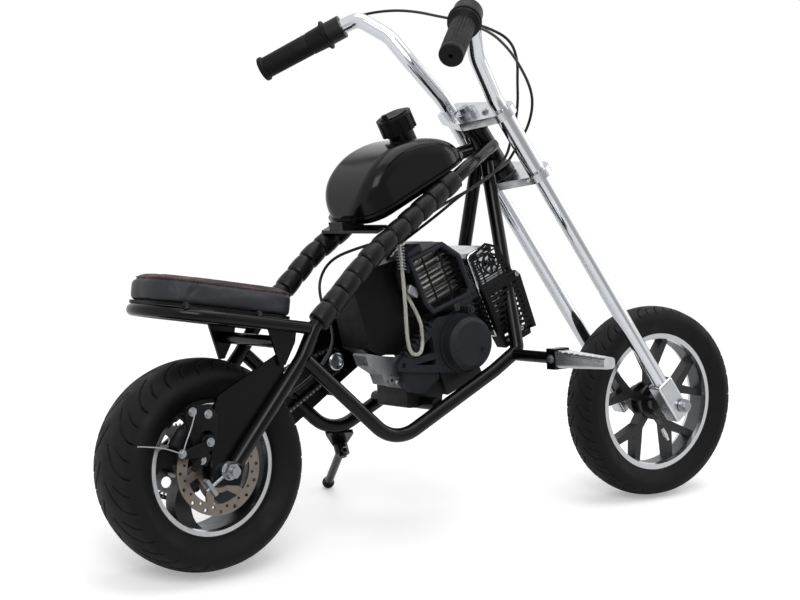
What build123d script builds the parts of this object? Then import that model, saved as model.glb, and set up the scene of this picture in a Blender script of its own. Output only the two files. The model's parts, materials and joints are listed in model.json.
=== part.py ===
from build123d import *
from math import atan2, cos, degrees, pi, radians, sin, sqrt
import os

os.makedirs("parts", exist_ok=True)

# The minibike is drawn upright about its rear axle: x forward, y to its left, z up.
# Lengths are in millimetres, angles in degrees. At the end everything leans on the side stand.
wheelbase = 778.5
rake = 34.6
lean = 12.0
steer_turn = -2.9
soft_gap = 0.3
weld_gap = 0.1
running_gap = 0.05

# Wheels
rear_tyre_r = 137.5
rear_tyre_half = 53.0
rear_bead_r = 84.0
rear_flange_r = 88.0
rear_rim_half = 35.0
front_tyre_r = 142.6
front_tyre_half = 31.0
front_bead_r = 97.0
front_flange_r = 102.5
front_rim_half = 20.0
rim_wall = 4.0
flange_wide = 3.0
axle_r = 6.0
rear_hub_r = 24.0
rear_hub_half = 52.0
sprocket_hub_r = 16.0
front_hub_r = 21.0
front_hub_half = 30.0
front_spokes = 5
rear_spokes = 5
blade_wide = 24.0
arm_wide = 18.0

# Frame tubes
rail_d = 19.0
loop_d = 19.0
seat_tube_d = 16.0
rail_y = 71.0
leg_y = 76.0
leg_end_y = 79.0
loop_y = 76.0
seat_tube_y = 76.0
cross_r = 9.0
seat_cross_r = 8.0
seat_cross_x = 92.0
seat_cross_z = 152.5
gusset_t = 4.0
dropout_y = 68.0
dropout_t = 5.0
wrap_d = 30.0
wrap_lip = 1.6
wrap_overlap = 1.5
wrap_bands = 11
wrap_start = 0.30
wrap_end = 0.985

# Steering
fork_d = 22.0
sleeve_d = 26.0
fork_y = 62.0
fork_back = 6.0
fork_foot = 13.0
fork_top = 543.0
stem_back = 20.0
stem_r = 12.0
head_r = 16.0
cup_grow = 4.0
cup_high = 10.0
head_low = 446.0
head_high = 520.0
clamp_t = 12.0
lower_clamp_s = 431.0
upper_clamp_s = 535.0
fork_end_size = (30.0, 27.0, 66.0)
fork_end_round = 4.0
bar_d = 22.0
grip_d = 32.0
grip_disc_r = 22.0
grip_disc_t = 4.0

# Seat
seat_slope = 0.18
seat_z = 191.5
pan_t = 4.0
pad_t = 33.0
pad_mid_x = 25.0
pad_half_len = 104.0
pad_half_wide = 70.0
pad_corner = 56.0
pad_edge = 12.0

# Tank
tank_tilt = 25.4
tank_x = 238.0
tank_z = 302.5
tank_len = 196.0
tank_half_wide = 62.0
tank_corner = 48.0
tank_high = 61.0
tank_round = 22.0
tank_pan_in = 20.0
tank_pan_high = 14.0
flange_t = 3.0
flange_out = 4.0
neck_d = 36.0
neck_from = 139.0
cap_d = 50.0
cap_high = 24.0

# Engine
engine_tilt = 22.0
crank_x = 387.0
crank_z = 127.0
case_r = 44.0
case_right = -50.0
case_left = 40.0
fins = 8
fin_low = 69.0
fin_pitch = 7.0
fin_t = 2.6
head_fins = 6
shroud_wall = 4.0
shroud_inner_y = -20.0
shroud_face_y = -66.0
starter_r = 36.0
muffler_right = -58.0
muffler_left = 20.0
guard_face_y = -66.0
guard_t = 3.0
louvres = 10
louvre_pitch = 7.6
louvre_gap = 4.2

# Drive
chain_pitch = 6.35
rear_teeth = 50
jack_teeth = 17
chain_y = 62.3
link_half_high = 2.9
roller_half_high = 2.2
roller_half_wide = 2.3
link_plate_t = 1.2
sprocket_t = 2.2
jack_x = 249.0
jack_z = 107.5
jack_r = 8.0
guide_r = 11.0
disc_r = 60.0
disc_t = 3.0
disc_y = -47.5

# Pegs and stand
peg_x = 458.0
peg_z = 105.5
peg_len = 95.0
peg_arm_end = 165.0
peg_block = 17.0
stand_pivot = (285.0, 100.0, -22.5)
stand_foot_x = 330.0
stand_foot_y = 207.0
stand_d = 12.0
foot_r = 9.0


def tyre_section(bead_r, flange_r, flange_half, half, radius):
    """Outline of a tyre with a round crown, as y, r pairs from one bead to the other."""
    shoulder = radius - 0.30 * half
    seat_half = flange_half - flange_wide - soft_gap
    right = [
        (seat_half, bead_r + soft_gap),
        (seat_half, flange_r + soft_gap),
        (flange_half + 2, flange_r + soft_gap),
        (half - 2, bead_r + 0.42 * (radius - bead_r)),
        (half, bead_r + 0.62 * (radius - bead_r)),
        (0.86 * half, shoulder + 0.10 * half),
        (0.62 * half, radius - 0.10 * half),
        (0.32 * half, radius - 0.025 * half),
        (0, radius),
    ]
    return [(-y, r) for y, r in right] + [(y, r) for y, r in reversed(right[:-1])]


def lean_reach(section):
    """How far a leaning tyre reaches below its axle."""
    return max(r * cos(radians(lean)) + y * sin(radians(lean)) for y, r in section)


rear_section = tyre_section(rear_bead_r, rear_flange_r, rear_rim_half, rear_tyre_half, rear_tyre_r)
front_section = tyre_section(front_bead_r, front_flange_r, front_rim_half, front_tyre_half, front_tyre_r)
floor_low = -lean_reach(rear_section)
front_axle_z = (floor_low + lean_reach(front_section)) / cos(radians(lean))
foot_z = (floor_low + foot_r + stand_foot_y * sin(radians(lean))) / cos(radians(lean))

steer_dir = Vector(-sin(radians(rake)), 0, cos(radians(rake)))
fork_plane = Plane(
    origin=(wheelbase, 0, front_axle_z),
    x_dir=(cos(radians(rake)), 0, sin(radians(rake))),
    z_dir=tuple(steer_dir),
)


def on_fork(x, y, s):
    """A point from the fork's own directions: x forward, y left, s up the fork from the axle."""
    return fork_plane.from_local_coords(Vector(x, y, s))


def tube(points, radii, diameter):
    """A round bar along straight runs joined by tangent arcs."""
    with BuildLine() as route:
        if radii:
            FilletPolyline(*points, radius=radii)
        else:
            Line(*points)
    with BuildSketch(Plane(origin=route.line @ 0, z_dir=route.line % 0)) as section:
        Circle(diameter / 2)
    sweep(sections=section.sketch, path=route.line)


def rod(start, end, radius, mode=Mode.ADD):
    """A straight round bar between two points."""
    a = Vector(*start)
    b = Vector(*end)
    with BuildSketch(Plane(origin=a, z_dir=(b - a).normalized())) as section:
        Circle(radius)
    extrude(section.sketch, amount=(b - a).length, mode=mode)


def cross_rod(x, z, y_low, y_high, radius, mode=Mode.ADD):
    """A round bar square to the bike between two y values."""
    rod((x, y_low, z), (x, y_high, z), radius, mode)


def plate(points, y_low, y_high, round_r=0, mode=Mode.ADD):
    """A flat plate whose outline is given as x, z and whose faces are at two y values."""
    with BuildSketch(Plane(origin=(0, y_low, 0), x_dir=(1, 0, 0), z_dir=(0, 1, 0))) as outline:
        Polygon(*[(x, -z) for x, z in points], align=None)
        if round_r:
            fillet(outline.vertices(), round_r)
    extrude(outline.sketch, amount=y_high - y_low, mode=mode)


def turned(points, x=0, z=0, mode=Mode.ADD):
    """A solid of revolution about the line through x, z along y, from y, r pairs."""
    with BuildSketch(Plane(origin=(x, 0, z), x_dir=(1, 0, 0), z_dir=(0, 0, 1))) as section:
        with BuildLine():
            Polyline(*[(r, y) for y, r in points], close=True)
        make_face()
    revolve(section.sketch, axis=Axis((x, 0, z), (0, 1, 0)), mode=mode)


def take_off(*others):
    """Fits the piece being made round pieces that are there already."""
    for other in others:
        add(other.part, mode=Mode.SUBTRACT)


pieces = {}
steering = {}

# Head tube with its two bearing cups
with BuildPart() as head_tube:
    rod(on_fork(-stem_back, 0, head_low), on_fork(-stem_back, 0, head_high), head_r)
    for start in (head_low - 6, head_high + 6 - cup_high):
        rod(on_fork(-stem_back, 0, start), on_fork(-stem_back, 0, start + cup_high), head_r + cup_grow)
    bore = (on_fork(-stem_back, 0, head_low - cup_high), on_fork(-stem_back, 0, head_high + cup_high))
    rod(*bore, stem_r + running_gap, Mode.SUBTRACT)
pieces["head_tube"] = head_tube
with BuildPart() as head_core:
    rod(on_fork(-stem_back, 0, head_low), on_fork(-stem_back, 0, head_high), head_r)

# Frame tubes, one pass for each side
rails = {}
wraps = {}
loops = {}
for side, s in (("left", 1), ("right", -1)):
    rail_points = [
        on_fork(3 - stem_back, s * 11.5, head_low + 41),
        on_fork(-101, s * fork_y, head_low + 65),
        (232, s * rail_y, 255.5),
        (139, s * rail_y, 169.5),
        (114, s * leg_y, 130.5),
        (8, s * leg_end_y, 8.5),
    ]
    rail_bends = [90, 200, 40, 60]
    with BuildPart() as rail:
        tube(rail_points, rail_bends, rail_d)
        take_off(head_core, head_tube)
    rails[side] = rail
    # The wrap is a row of overlapping bands, each a little wider at its lower edge.
    with BuildLine() as wrapped:
        FilletPolyline(*rail_points[:4], radius=rail_bends[:2])
    run = wrapped.line
    with BuildPart() as wrap:
        step = (wrap_end - wrap_start) / wrap_bands
        for i in range(wrap_bands):
            a = run @ (wrap_start + i * step)
            b = run @ (wrap_start + (i + 1) * step)
            with Locations(Plane(origin=a, z_dir=(b - a).normalized()).location):
                Cone(
                    wrap_d / 2 - wrap_lip,
                    wrap_d / 2,
                    (b - a).length + wrap_overlap,
                    align=(Align.CENTER, Align.CENTER, Align.MIN),
                )
        with BuildSketch(Plane(origin=run @ 0, z_dir=run % 0)) as core:
            Circle(rail_d / 2 + weld_gap)
        sweep(sections=core.sketch, path=run, mode=Mode.SUBTRACT)
    wraps[side] = wrap
    with BuildPart() as loop:
        loop_points = [
            on_fork(-stem_back - 20, s * 11, head_low + 28),
            (466, s * (loop_y + 1.8), 111.5),
            (425, s * loop_y, 86.5),
            (254, s * loop_y, 4.5),
            (119, s * loop_y, 129),
        ]
        tube(loop_points, [14, 40, 55], loop_d)
        take_off(head_core, head_tube, rail)
    loops[side] = loop
    pieces["rail_" + side] = rail
    pieces["lower_loop_" + side] = loop
with BuildPart() as rail_wraps:
    add(wraps["left"].part)
    add(wraps["right"].part)
pieces["rail_wraps"] = rail_wraps

# Seat tube: a U on a plane that falls towards the front
seat_plane = Plane(origin=(0, 0, seat_z), x_dir=(1, 0, -seat_slope), z_dir=(seat_slope, 0, 1))
seat_tube_end = 128.0
with BuildPart() as seat_tube:
    with BuildLine(seat_plane) as u_route:
        near = Line((seat_tube_end, -seat_tube_y), (0, -seat_tube_y))
        bend = ThreePointArc((0, -seat_tube_y), (-seat_tube_y, 0), (0, seat_tube_y))
        far = Line((0, seat_tube_y), (seat_tube_end, seat_tube_y))
    with BuildSketch(Plane(origin=u_route.line @ 0, z_dir=u_route.line % 0)) as section:
        Circle(seat_tube_d / 2)
    sweep(sections=section.sketch, path=u_route.line)
    take_off(*rails.values(), *wraps.values())
pieces["seat_tube"] = seat_tube

# Cross bars: under the seat and under the engine
engine_bar_x = 329.0
engine_bar_z = 49.5
with BuildPart() as cross_bars:
    cross_rod(seat_cross_x, seat_cross_z, 2 - rail_y, rail_y - 2, seat_cross_r)
    cross_rod(engine_bar_x, engine_bar_z, 3 - loop_y, loop_y - 3, cross_r)
    take_off(*rails.values(), *loops.values())
pieces["cross_bars"] = cross_bars

gusset_outline = [(62, 184.5), (108, 175.5), (104, 152.5), (88, 124.5), (80, 124.5)]
with BuildPart() as seat_gussets:
    for s in (1, -1):
        y = s * seat_tube_y
        plate(gusset_outline, y - gusset_t / 2, y + gusset_t / 2)
    take_off(seat_tube, cross_bars, *rails.values(), *wraps.values())
pieces["seat_gussets"] = seat_gussets

# Rear dropout plates, welded into the legs, with the axle's hole: outlines as x, z
right_dropout = [(92, 144.5), (-10, 94.5), (-22, 62.5), (-22, -15.5), (16, -21.5), (40, 52.5), (86, 102.5)]
left_dropout = [(52, 68.5), (20, 42.5), (-18, 20.5), (-20, -15.5), (16, -21.5), (40, 38.5)]
dropout_out = dropout_y + dropout_t
with BuildPart() as dropouts:
    plate(right_dropout, -dropout_out, -dropout_y)
    plate(left_dropout, dropout_y, dropout_out)
    cross_rod(0, 0, -2 * dropout_y, 2 * dropout_y, axle_r + weld_gap, Mode.SUBTRACT)
    take_off(*rails.values())
pieces["dropouts"] = dropouts

# Chain adjusters: an eye round the axle, a threaded rod and a block against the dropout's edge
eye_t = 5.0
adjuster_rod_r = 2.4
with BuildPart() as chain_adjusters:
    for s in (-1, 1):
        inner, outer = sorted((s * (dropout_out + weld_gap), s * (dropout_out + eye_t)))
        middle_y = (inner + outer) / 2
        cross_rod(0, 0, inner, outer, axle_r + 6)
        rod((0, middle_y, 0), (-34, middle_y, -22), adjuster_rod_r)
        with Locations(Plane(origin=(-28, middle_y, -18), z_dir=(-34, 0, -22)).location):
            Box(24, eye_t + 4, 5)
    cross_rod(0, 0, -2 * dropout_out, 2 * dropout_out, axle_r + weld_gap, Mode.SUBTRACT)
    take_off(dropouts, *rails.values())
pieces["chain_adjusters"] = chain_adjusters

# Rear axle with its nuts and its two free ends
nut_r = 10.5
nut_t = 9.0
axle_stub = 7.0
axle_half = dropout_out + eye_t + nut_t + axle_stub
with BuildPart() as rear_axle:
    cross_rod(0, 0, -axle_half, axle_half, axle_r)
    for s in (-1, 1):
        nut_from = s * (dropout_out + eye_t + weld_gap)
        nut_to = s * (dropout_out + eye_t + nut_t)
        with BuildSketch(Plane(origin=(0, nut_from, 0), x_dir=(1, 0, 0), z_dir=(0, s, 0))) as nut:
            RegularPolygon(nut_r, 6)
        extrude(nut.sketch, amount=abs(nut_to - nut_from))
pieces["rear_axle"] = rear_axle


def at_front(piece):
    """Sets a piece made about the origin on the front axle."""
    piece.part = Pos(wheelbase, 0, front_axle_z) * piece.part


with BuildPart() as rear_tyre:
    turned(rear_section)
pieces["rear_tyre"] = rear_tyre

with BuildPart() as front_tyre:
    turned(front_section)
at_front(front_tyre)
pieces["front_tyre"] = front_tyre


def rim_ring(flange_r, bead_r, half):
    """The rim's barrel with its two flanges."""
    inner_r = bead_r - rim_wall
    turned(
        [
            (-half, flange_r),
            (flange_wide - half, flange_r),
            (flange_wide - half, bead_r),
            (half - flange_wide, bead_r),
            (half - flange_wide, flange_r),
            (half, flange_r),
            (half, inner_r + 2),
            (half - 8, inner_r),
            (8 - half, inner_r),
            (-half, inner_r + 2),
        ]
    )


with BuildPart() as rear_rim:
    rim_ring(rear_flange_r, rear_bead_r, rear_rim_half)
    cross_rod(0, 0, -rear_hub_half, rear_hub_half, rear_hub_r)
    cross_rod(0, 0, -dropout_y + 1, dropout_y - 1, sprocket_hub_r)
    blade_end = rear_bead_r - rim_wall + 1
    with BuildSketch(Plane.XZ.offset(-blade_wide / 2)) as blades:
        for i in range(rear_spokes):
            with BuildLine(Plane.XY.rotated((0, 0, 360 / rear_spokes * i + 15))):
                lead = ThreePointArc((rear_hub_r - 4, -10), (blade_end / 2, -14), (blade_end * cos(0.2), blade_end * sin(0.2)))
                tip = Line(lead @ 1, (blade_end * cos(0.62), blade_end * sin(0.62)))
                trail = ThreePointArc(tip @ 1, (blade_end / 2 + 2, 10), (rear_hub_r - 4, 10))
                Line(trail @ 1, lead @ 0)
            make_face()
    extrude(blades.sketch, amount=blade_wide)
    cross_rod(0, 0, -2 * rear_hub_half, 2 * rear_hub_half, axle_r + running_gap, Mode.SUBTRACT)
pieces["rear_rim"] = rear_rim

with BuildPart() as front_rim:
    rim_ring(front_flange_r, front_bead_r, front_rim_half)
    cross_rod(0, 0, -front_hub_half, front_hub_half, front_hub_r)
    arm_end = front_bead_r - rim_wall + 2
    with BuildSketch(Plane.XZ.offset(-arm_wide / 2)) as arms:
        fork_r = 0.46 * front_bead_r
        # Each arm splits in two on its way to the rim: points as outward, sideways
        for i in range(front_spokes):
            with BuildLine(Plane.XY.rotated((0, 0, 360 / front_spokes * i + 90))):
                Polyline(
                    (front_hub_r - 3, -7), (fork_r, -6), (arm_end, -34),
                    (arm_end, -24), (fork_r + 16, 0), (arm_end, 24),
                    (arm_end, 34), (fork_r, 6), (front_hub_r - 3, 7), close=True,
                )
            make_face()
        Circle(front_bead_r - rim_wall / 2, mode=Mode.INTERSECT)
    extrude(arms.sketch, amount=arm_wide)
    for s in (-1, 1):
        flange_from, flange_to = sorted((s * arm_wide / 2, s * (arm_wide / 2 + 5)))
        cross_rod(0, 0, flange_from, flange_to, front_hub_r + 7)
    cross_rod(0, 0, -2 * front_hub_half, 2 * front_hub_half, axle_r + running_gap, Mode.SUBTRACT)
at_front(front_rim)
pieces["front_rim"] = front_rim

# Drilled brake disc on the right of the rear hub: a ring carried by slanted arms
ring_in = disc_r - 15
with BuildPart() as brake_disc:
    with BuildSketch(Plane.XZ.offset(-disc_y - disc_t / 2)) as disc:
        Circle(disc_r)
        Circle(ring_in, mode=Mode.SUBTRACT)
        Circle(rear_hub_r + 7)
        for i in range(6):
            with BuildLine(Plane.XY.rotated((0, 0, 60 * i))):
                Polyline((rear_hub_r, -9), (ring_in + 4, 6), (ring_in + 4, 17), (rear_hub_r, 5), close=True)
            make_face()
        Circle(rear_hub_r + weld_gap, mode=Mode.SUBTRACT)
        with PolarLocations(disc_r - 5, 16):
            Circle(2.4, mode=Mode.SUBTRACT)
        with PolarLocations(disc_r - 10.5, 16, start_angle=11.25):
            Circle(2.0, mode=Mode.SUBTRACT)
    extrude(disc.sketch, amount=disc_t)
pieces["brake_disc"] = brake_disc


def chain_radius(teeth):
    """The circle on which a chain's pins lie round a sprocket."""
    return chain_pitch / 2 / sin(pi / teeth)


def toothed(teeth, hub_r, x, z, hole_r):
    """A sprocket's plate: its teeth end just inside the rollers of the chain that is drawn at rest."""
    pin_r = chain_radius(teeth)
    tip_r = pin_r - roller_half_high - soft_gap
    root_r = tip_r - 3
    with BuildSketch(Plane(origin=(x, chain_y + sprocket_t / 2, z), x_dir=(1, 0, 0), z_dir=(0, -1, 0))) as outline:
        Circle(root_r)
        for i in range(teeth):
            with BuildLine(Plane.XY.rotated((0, 0, 360 / teeth * i))):
                Polyline((root_r - 1, -1.9), (tip_r, -0.7), (tip_r, 0.7), (root_r - 1, 1.9), close=True)
            make_face()
        if hole_r:
            with PolarLocations((root_r + hub_r) / 2 + 1, 6):
                Circle(hole_r, mode=Mode.SUBTRACT)
        Circle(hub_r, mode=Mode.SUBTRACT)
    extrude(outline.sketch, amount=sprocket_t)


with BuildPart() as rear_sprocket:
    toothed(rear_teeth, sprocket_hub_r + weld_gap, 0, 0, 7.5)
pieces["rear_sprocket"] = rear_sprocket

# Brake caliper over the disc: two halves and a bridge, an arm and a cable stop, held by the right dropout
caliper_half = [(-52, 34.5), (-34, 62.5), (-8, 70), (4, 54), (-20, 34.5), (-34, 14.5)]
caliper_bridge = [(-66, 34), (-52, 54), (-30, 70), (-10, 74), (-4, 64), (-30, 58), (-50, 32)]
brake_side = disc_y - disc_t / 2 - 1
wheel_side = disc_y + disc_t / 2 + 1
with BuildPart() as brake_caliper:
    plate(caliper_half, -dropout_y + 0.2, brake_side, 5)
    plate(caliper_half, wheel_side, wheel_side + 6, 5)
    plate(caliper_bridge, -dropout_y + 0.2, wheel_side + 6, 2)
    cross_rod(-30, 42, -dropout_y - 9, -dropout_y + 2, 12)
    cross_rod(-30, 42, -dropout_y - 14, -dropout_y - 8, 5)
    plate([(-34, 40), (-26, 38), (-50, 4), (-57, 8)], -dropout_y - 13, -dropout_y - 10, 2)
    plate([(-46, 70), (-36, 78), (-26, 66), (-34, 58)], -dropout_y - 6, -dropout_y + 4, 2)
    cross_rod(0, 0, brake_side, wheel_side, disc_r + 1, Mode.SUBTRACT)
    take_off(dropouts, *rails.values())
pieces["brake_caliper"] = brake_caliper

# Short jackshaft with the small sprocket
with BuildPart() as jackshaft:
    cross_rod(jack_x, jack_z, chain_y - 12, dropout_out + 8, jack_r)
    cross_rod(jack_x, jack_z, dropout_out + 2, dropout_out + 7, jack_r + 5)
    cross_rod(jack_x, jack_z, chain_y - 13, chain_y - 4, jack_r - 2.5, Mode.SUBTRACT)
    toothed(jack_teeth, jack_r - 1, jack_x, jack_z, 0)
pieces["jackshaft"] = jackshaft

# Roller chain as one closed band: narrow inner links and outer plates by turns along its route
rear_chain_r = chain_radius(rear_teeth)
jack_chain_r = chain_radius(jack_teeth)
between = sqrt(jack_x**2 + jack_z**2)
slope = atan2(jack_z, jack_x)
reach = sqrt(between**2 - (rear_chain_r - jack_chain_r) ** 2)
flare = atan2(reach, rear_chain_r - jack_chain_r)
rear_wrap = (2 * pi - 2 * flare) * rear_chain_r
jack_wrap = 2 * flare * jack_chain_r
chain_length = 2 * reach + rear_wrap + jack_wrap
links = 2 * round(chain_length / chain_pitch / 2)


def chain_point(t):
    """The x, z point at length t along the chain, from the top of the rear sprocket round its back."""
    if t < rear_wrap:
        a = slope + flare + t / rear_chain_r
        return rear_chain_r * cos(a), rear_chain_r * sin(a)
    t -= rear_wrap
    a = slope - flare
    if t < reach:
        return rear_chain_r * cos(a) - t * sin(a), rear_chain_r * sin(a) + t * cos(a)
    t -= reach
    if t < jack_wrap:
        a += t / jack_chain_r
        return jack_x + jack_chain_r * cos(a), jack_z + jack_chain_r * sin(a)
    t -= jack_wrap
    a = slope + flare
    return jack_x + jack_chain_r * cos(a) - t * sin(a), jack_z + jack_chain_r * sin(a) + t * cos(a)


def link_row(first, half_high, y_low, y_high):
    """Every second link of the chain, as six-sided plates between two y values."""
    step = chain_length / links
    ends = half_high * 0.75
    with BuildSketch(Plane(origin=(0, y_low, 0), x_dir=(1, 0, 0), z_dir=(0, 1, 0))) as row:
        for i in range(first, links, 2):
            ax, az = chain_point(i * step)
            bx, bz = chain_point((i + 1) * step % chain_length)
            turn = degrees(atan2(bz - az, bx - ax))
            half = step / 2
            with Locations(Location(((ax + bx) / 2, -(az + bz) / 2, 0), (0, 0, -turn))):
                Polygon(
                    (-half - ends, 0), (-half + 1, half_high), (half - 1, half_high),
                    (half + ends, 0), (half - 1, -half_high), (-half + 1, -half_high), align=None,
                )
    extrude(row.sketch, amount=y_high - y_low)


with BuildPart() as chain:
    link_row(0, roller_half_high, chain_y - roller_half_wide, chain_y + roller_half_wide)
    link_row(1, link_half_high, chain_y + roller_half_wide, chain_y + roller_half_wide + link_plate_t)
    link_row(1, link_half_high, chain_y - roller_half_wide - link_plate_t, chain_y - roller_half_wide)
pieces["chain"] = chain

# Plate that carries the jackshaft and guards the chain, with the guide roller under the lower run
guard_outline = [
    (225, 159.5), (262, 165.5), (330, 163), (384, 150), (384, 112), (309, 102.5),
    (268, 76.5), (232, 52.5), (150, 0.5), (120, 32.5), (205, 102.5),
]
plate_low = chain_y + roller_half_wide + link_plate_t + 2.5
plate_high = plate_low + 3
with BuildPart() as chain_guard:
    plate(guard_outline, plate_low, plate_high)
    cross_rod(jack_x, jack_z, plate_low - 5, plate_high + 5, jack_r + weld_gap, Mode.SUBTRACT)
    take_off(*loops.values())
pieces["chain_guard"] = chain_guard

guide_along = 0.93
guide_angle = slope - flare
line_x = rear_chain_r * cos(guide_angle) - guide_along * reach * sin(guide_angle)
line_z = rear_chain_r * sin(guide_angle) + guide_along * reach * cos(guide_angle)
guide_drop = guide_r + link_half_high + soft_gap
guide_x = line_x + guide_drop * cos(guide_angle)
guide_z = line_z + guide_drop * sin(guide_angle)
with BuildPart() as chain_guide:
    cross_rod(guide_x, guide_z, chain_y - 6, plate_low - weld_gap, guide_r)
    cross_rod(guide_x, guide_z, chain_y - 10, plate_low - weld_gap, 4)
    cross_rod(guide_x, guide_z, chain_y - 2.5, chain_y + 2.5, guide_r + 3, Mode.SUBTRACT)
    cross_rod(guide_x, guide_z, chain_y - 3, chain_y + 3, guide_r - 2.5)
    take_off(chain_guard, *loops.values())
pieces["chain_guide"] = chain_guide

# Engine, on a plane that leans back: u forward, y left, w up from the crank
engine_plane = Plane(
    origin=(crank_x, 0, crank_z),
    x_dir=(cos(radians(engine_tilt)), 0, sin(radians(engine_tilt))),
    z_dir=(-sin(radians(engine_tilt)), 0, cos(radians(engine_tilt))),
)


def engine_box(u0, u1, y0, y1, w0, w1, mode=Mode.ADD):
    """A block in the engine's own directions."""
    middle = engine_plane.from_local_coords(Vector((u0 + u1) / 2, (y0 + y1) / 2, (w0 + w1) / 2))
    with Locations(Plane(origin=middle, x_dir=engine_plane.x_dir, z_dir=engine_plane.z_dir).location):
        Box(u1 - u0, y1 - y0, w1 - w0, mode=mode)


def engine_side(y):
    """The engine's u, w plane at a y value, facing the bike's right."""
    return Plane(origin=(crank_x, y, crank_z), x_dir=engine_plane.x_dir, z_dir=(0, -1, 0))


def engine_at(u, y, w):
    """A point from the engine's own directions."""
    return engine_plane.from_local_coords(Vector(u, y, w))


fin_high = fin_low + fin_pitch * fins
with BuildPart() as engine_block:
    cross_rod(crank_x, crank_z, case_right, case_left, case_r)
    engine_box(-45, 20, case_right + 4, case_left, -58, 0)
    plate([(302, 44), (360, 44), (370, 102), (302, 112)], -40, 30, 4)
    engine_box(-24, 28, -28, 28, 30, fin_high + 2)
    for i in range(fins):
        w = fin_low + fin_pitch * i
        engine_box(-34, 36, -41, 36, w, w + fin_t)
    engine_box(-26, 28, -32, 30, fin_high, fin_high + 7)
    for i in range(head_fins):
        u = -24 + 9.4 * i
        engine_box(u, u + fin_t, -39, 34, fin_high + 2, fin_high + 16)
    take_off(cross_bars)
pieces["engine_block"] = engine_block

# Black hood round the fins, with a barred window: outline as u, w
hood_outline = [(-42, 77), (-42, 147), (21, 143), (41, 116), (41, 63), (31, 55), (-34, 60)]
grille_y = shroud_face_y + 8
with BuildPart() as cylinder_shroud:
    with BuildSketch(engine_side(shroud_inner_y)) as hood:
        Polygon(*hood_outline, align=None)
        fillet(hood.vertices(), 5)
    extrude(hood.sketch, amount=shroud_inner_y - shroud_face_y)
    fillet(cylinder_shroud.faces().sort_by(Axis.Y)[0].edges(), 1.5)
    with BuildSketch(engine_side(shroud_inner_y + 1)) as window:
        Polygon(*hood_outline, align=None)
        fillet(window.vertices(), 5)
        offset(amount=-shroud_wall, mode=Mode.REPLACE)
    extrude(window.sketch, amount=shroud_inner_y - shroud_face_y + 2, mode=Mode.SUBTRACT)
    with BuildSketch(engine_side(grille_y + 2)) as grille:
        for i in range(8):
            with Locations((0, fin_low + 3 + 9.2 * i)):
                Rectangle(100, 1.8)
        with Locations((-14, 100), (13, 100)):
            Rectangle(2.2, 120)
        Polygon(*hood_outline, align=None, mode=Mode.INTERSECT)
    extrude(grille.sketch, amount=2)
    take_off(engine_block)
pieces["cylinder_shroud"] = cylinder_shroud

# Starter: a webbed housing held by an eye, and the round cover with its bevelled rim
ring_r = case_r - 3
eye_x, eye_z = 286.0, 105.0
tip_x, tip_z = 346.0, 158.0
housing_low = case_right - 12
with BuildPart() as starter_housing:
    with BuildSketch(Plane(origin=(0, case_right, 0), x_dir=(1, 0, 0), z_dir=(0, -1, 0))) as web:
        with Locations((crank_x, crank_z)):
            Circle(ring_r)
        with Locations((eye_x, eye_z)):
            Circle(9)
        with Locations((tip_x, tip_z)):
            Circle(7)
        make_hull()
        for corners in ([(300, 112), (334, 141), (338, 118)], [(302, 104), (340, 109), (338, 101)]):
            with BuildLine():
                Polyline(*corners, close=True)
            make_face(mode=Mode.SUBTRACT)
        with Locations((eye_x, eye_z)):
            Circle(3.5, mode=Mode.SUBTRACT)
    extrude(web.sketch, amount=9)
    cross_rod(crank_x, crank_z, housing_low, case_right, ring_r)
    along = (Vector(tip_x, 0, tip_z) - Vector(eye_x, 0, eye_z)).normalized()
    away = Vector(-along.Z, 0, along.X)
    for i in range(8):
        foot_at = Vector(eye_x, case_right - 6, eye_z) + along * (12 + 8 * i) + away * 8
        with Locations(Plane(origin=foot_at, x_dir=tuple(along), z_dir=(0, -1, 0)).location):
            Box(3, 9, 12)
    cross_rod(crank_x + 9, crank_z + 45, housing_low - 6, case_right, 6)
    take_off(engine_block, cylinder_shroud)
pieces["starter_housing"] = starter_housing

with BuildPart() as recoil_cover:
    cover_low = housing_low - 20
    turned(
        [
            (housing_low - weld_gap, 0),
            (housing_low - weld_gap, starter_r + 1),
            (cover_low + 6, starter_r),
            (cover_low, starter_r - 6),
            (cover_low, 0),
        ],
        crank_x,
        crank_z,
    )
pieces["recoil_cover"] = recoil_cover

# Clutch housing on the engine's left, against the drive plate
with BuildPart() as clutch_cover:
    turned(
        [
            (case_left + weld_gap, 0),
            (case_left + weld_gap, 40),
            (plate_low - 10, 40),
            (plate_low - weld_gap, 32),
            (plate_low - weld_gap, 0),
        ],
        crank_x,
        crank_z,
    )
pieces["clutch_cover"] = clutch_cover

# Muffler with its pipe from the cylinder: outline as u, w
muffler_outline = [(54, -20), (54, 101), (60, 106), (87, 106), (99, 93), (109, 56), (109, -20)]
with BuildPart() as muffler:
    with BuildSketch(engine_side(muffler_left)) as body:
        Polygon(*muffler_outline, align=None)
        fillet(body.vertices(), 5)
    extrude(body.sketch, amount=muffler_left - muffler_right)
    fillet(muffler.faces().sort_by(Axis.Y)[0].edges(), 4)
    rod(engine_at(30, -5, 88), engine_at(58, -5, 88), 10)
    rod(engine_at(98, 0, -12), engine_at(98, 0, -34), 6)
    take_off(engine_block, *loops.values())
pieces["muffler"] = muffler

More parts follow.
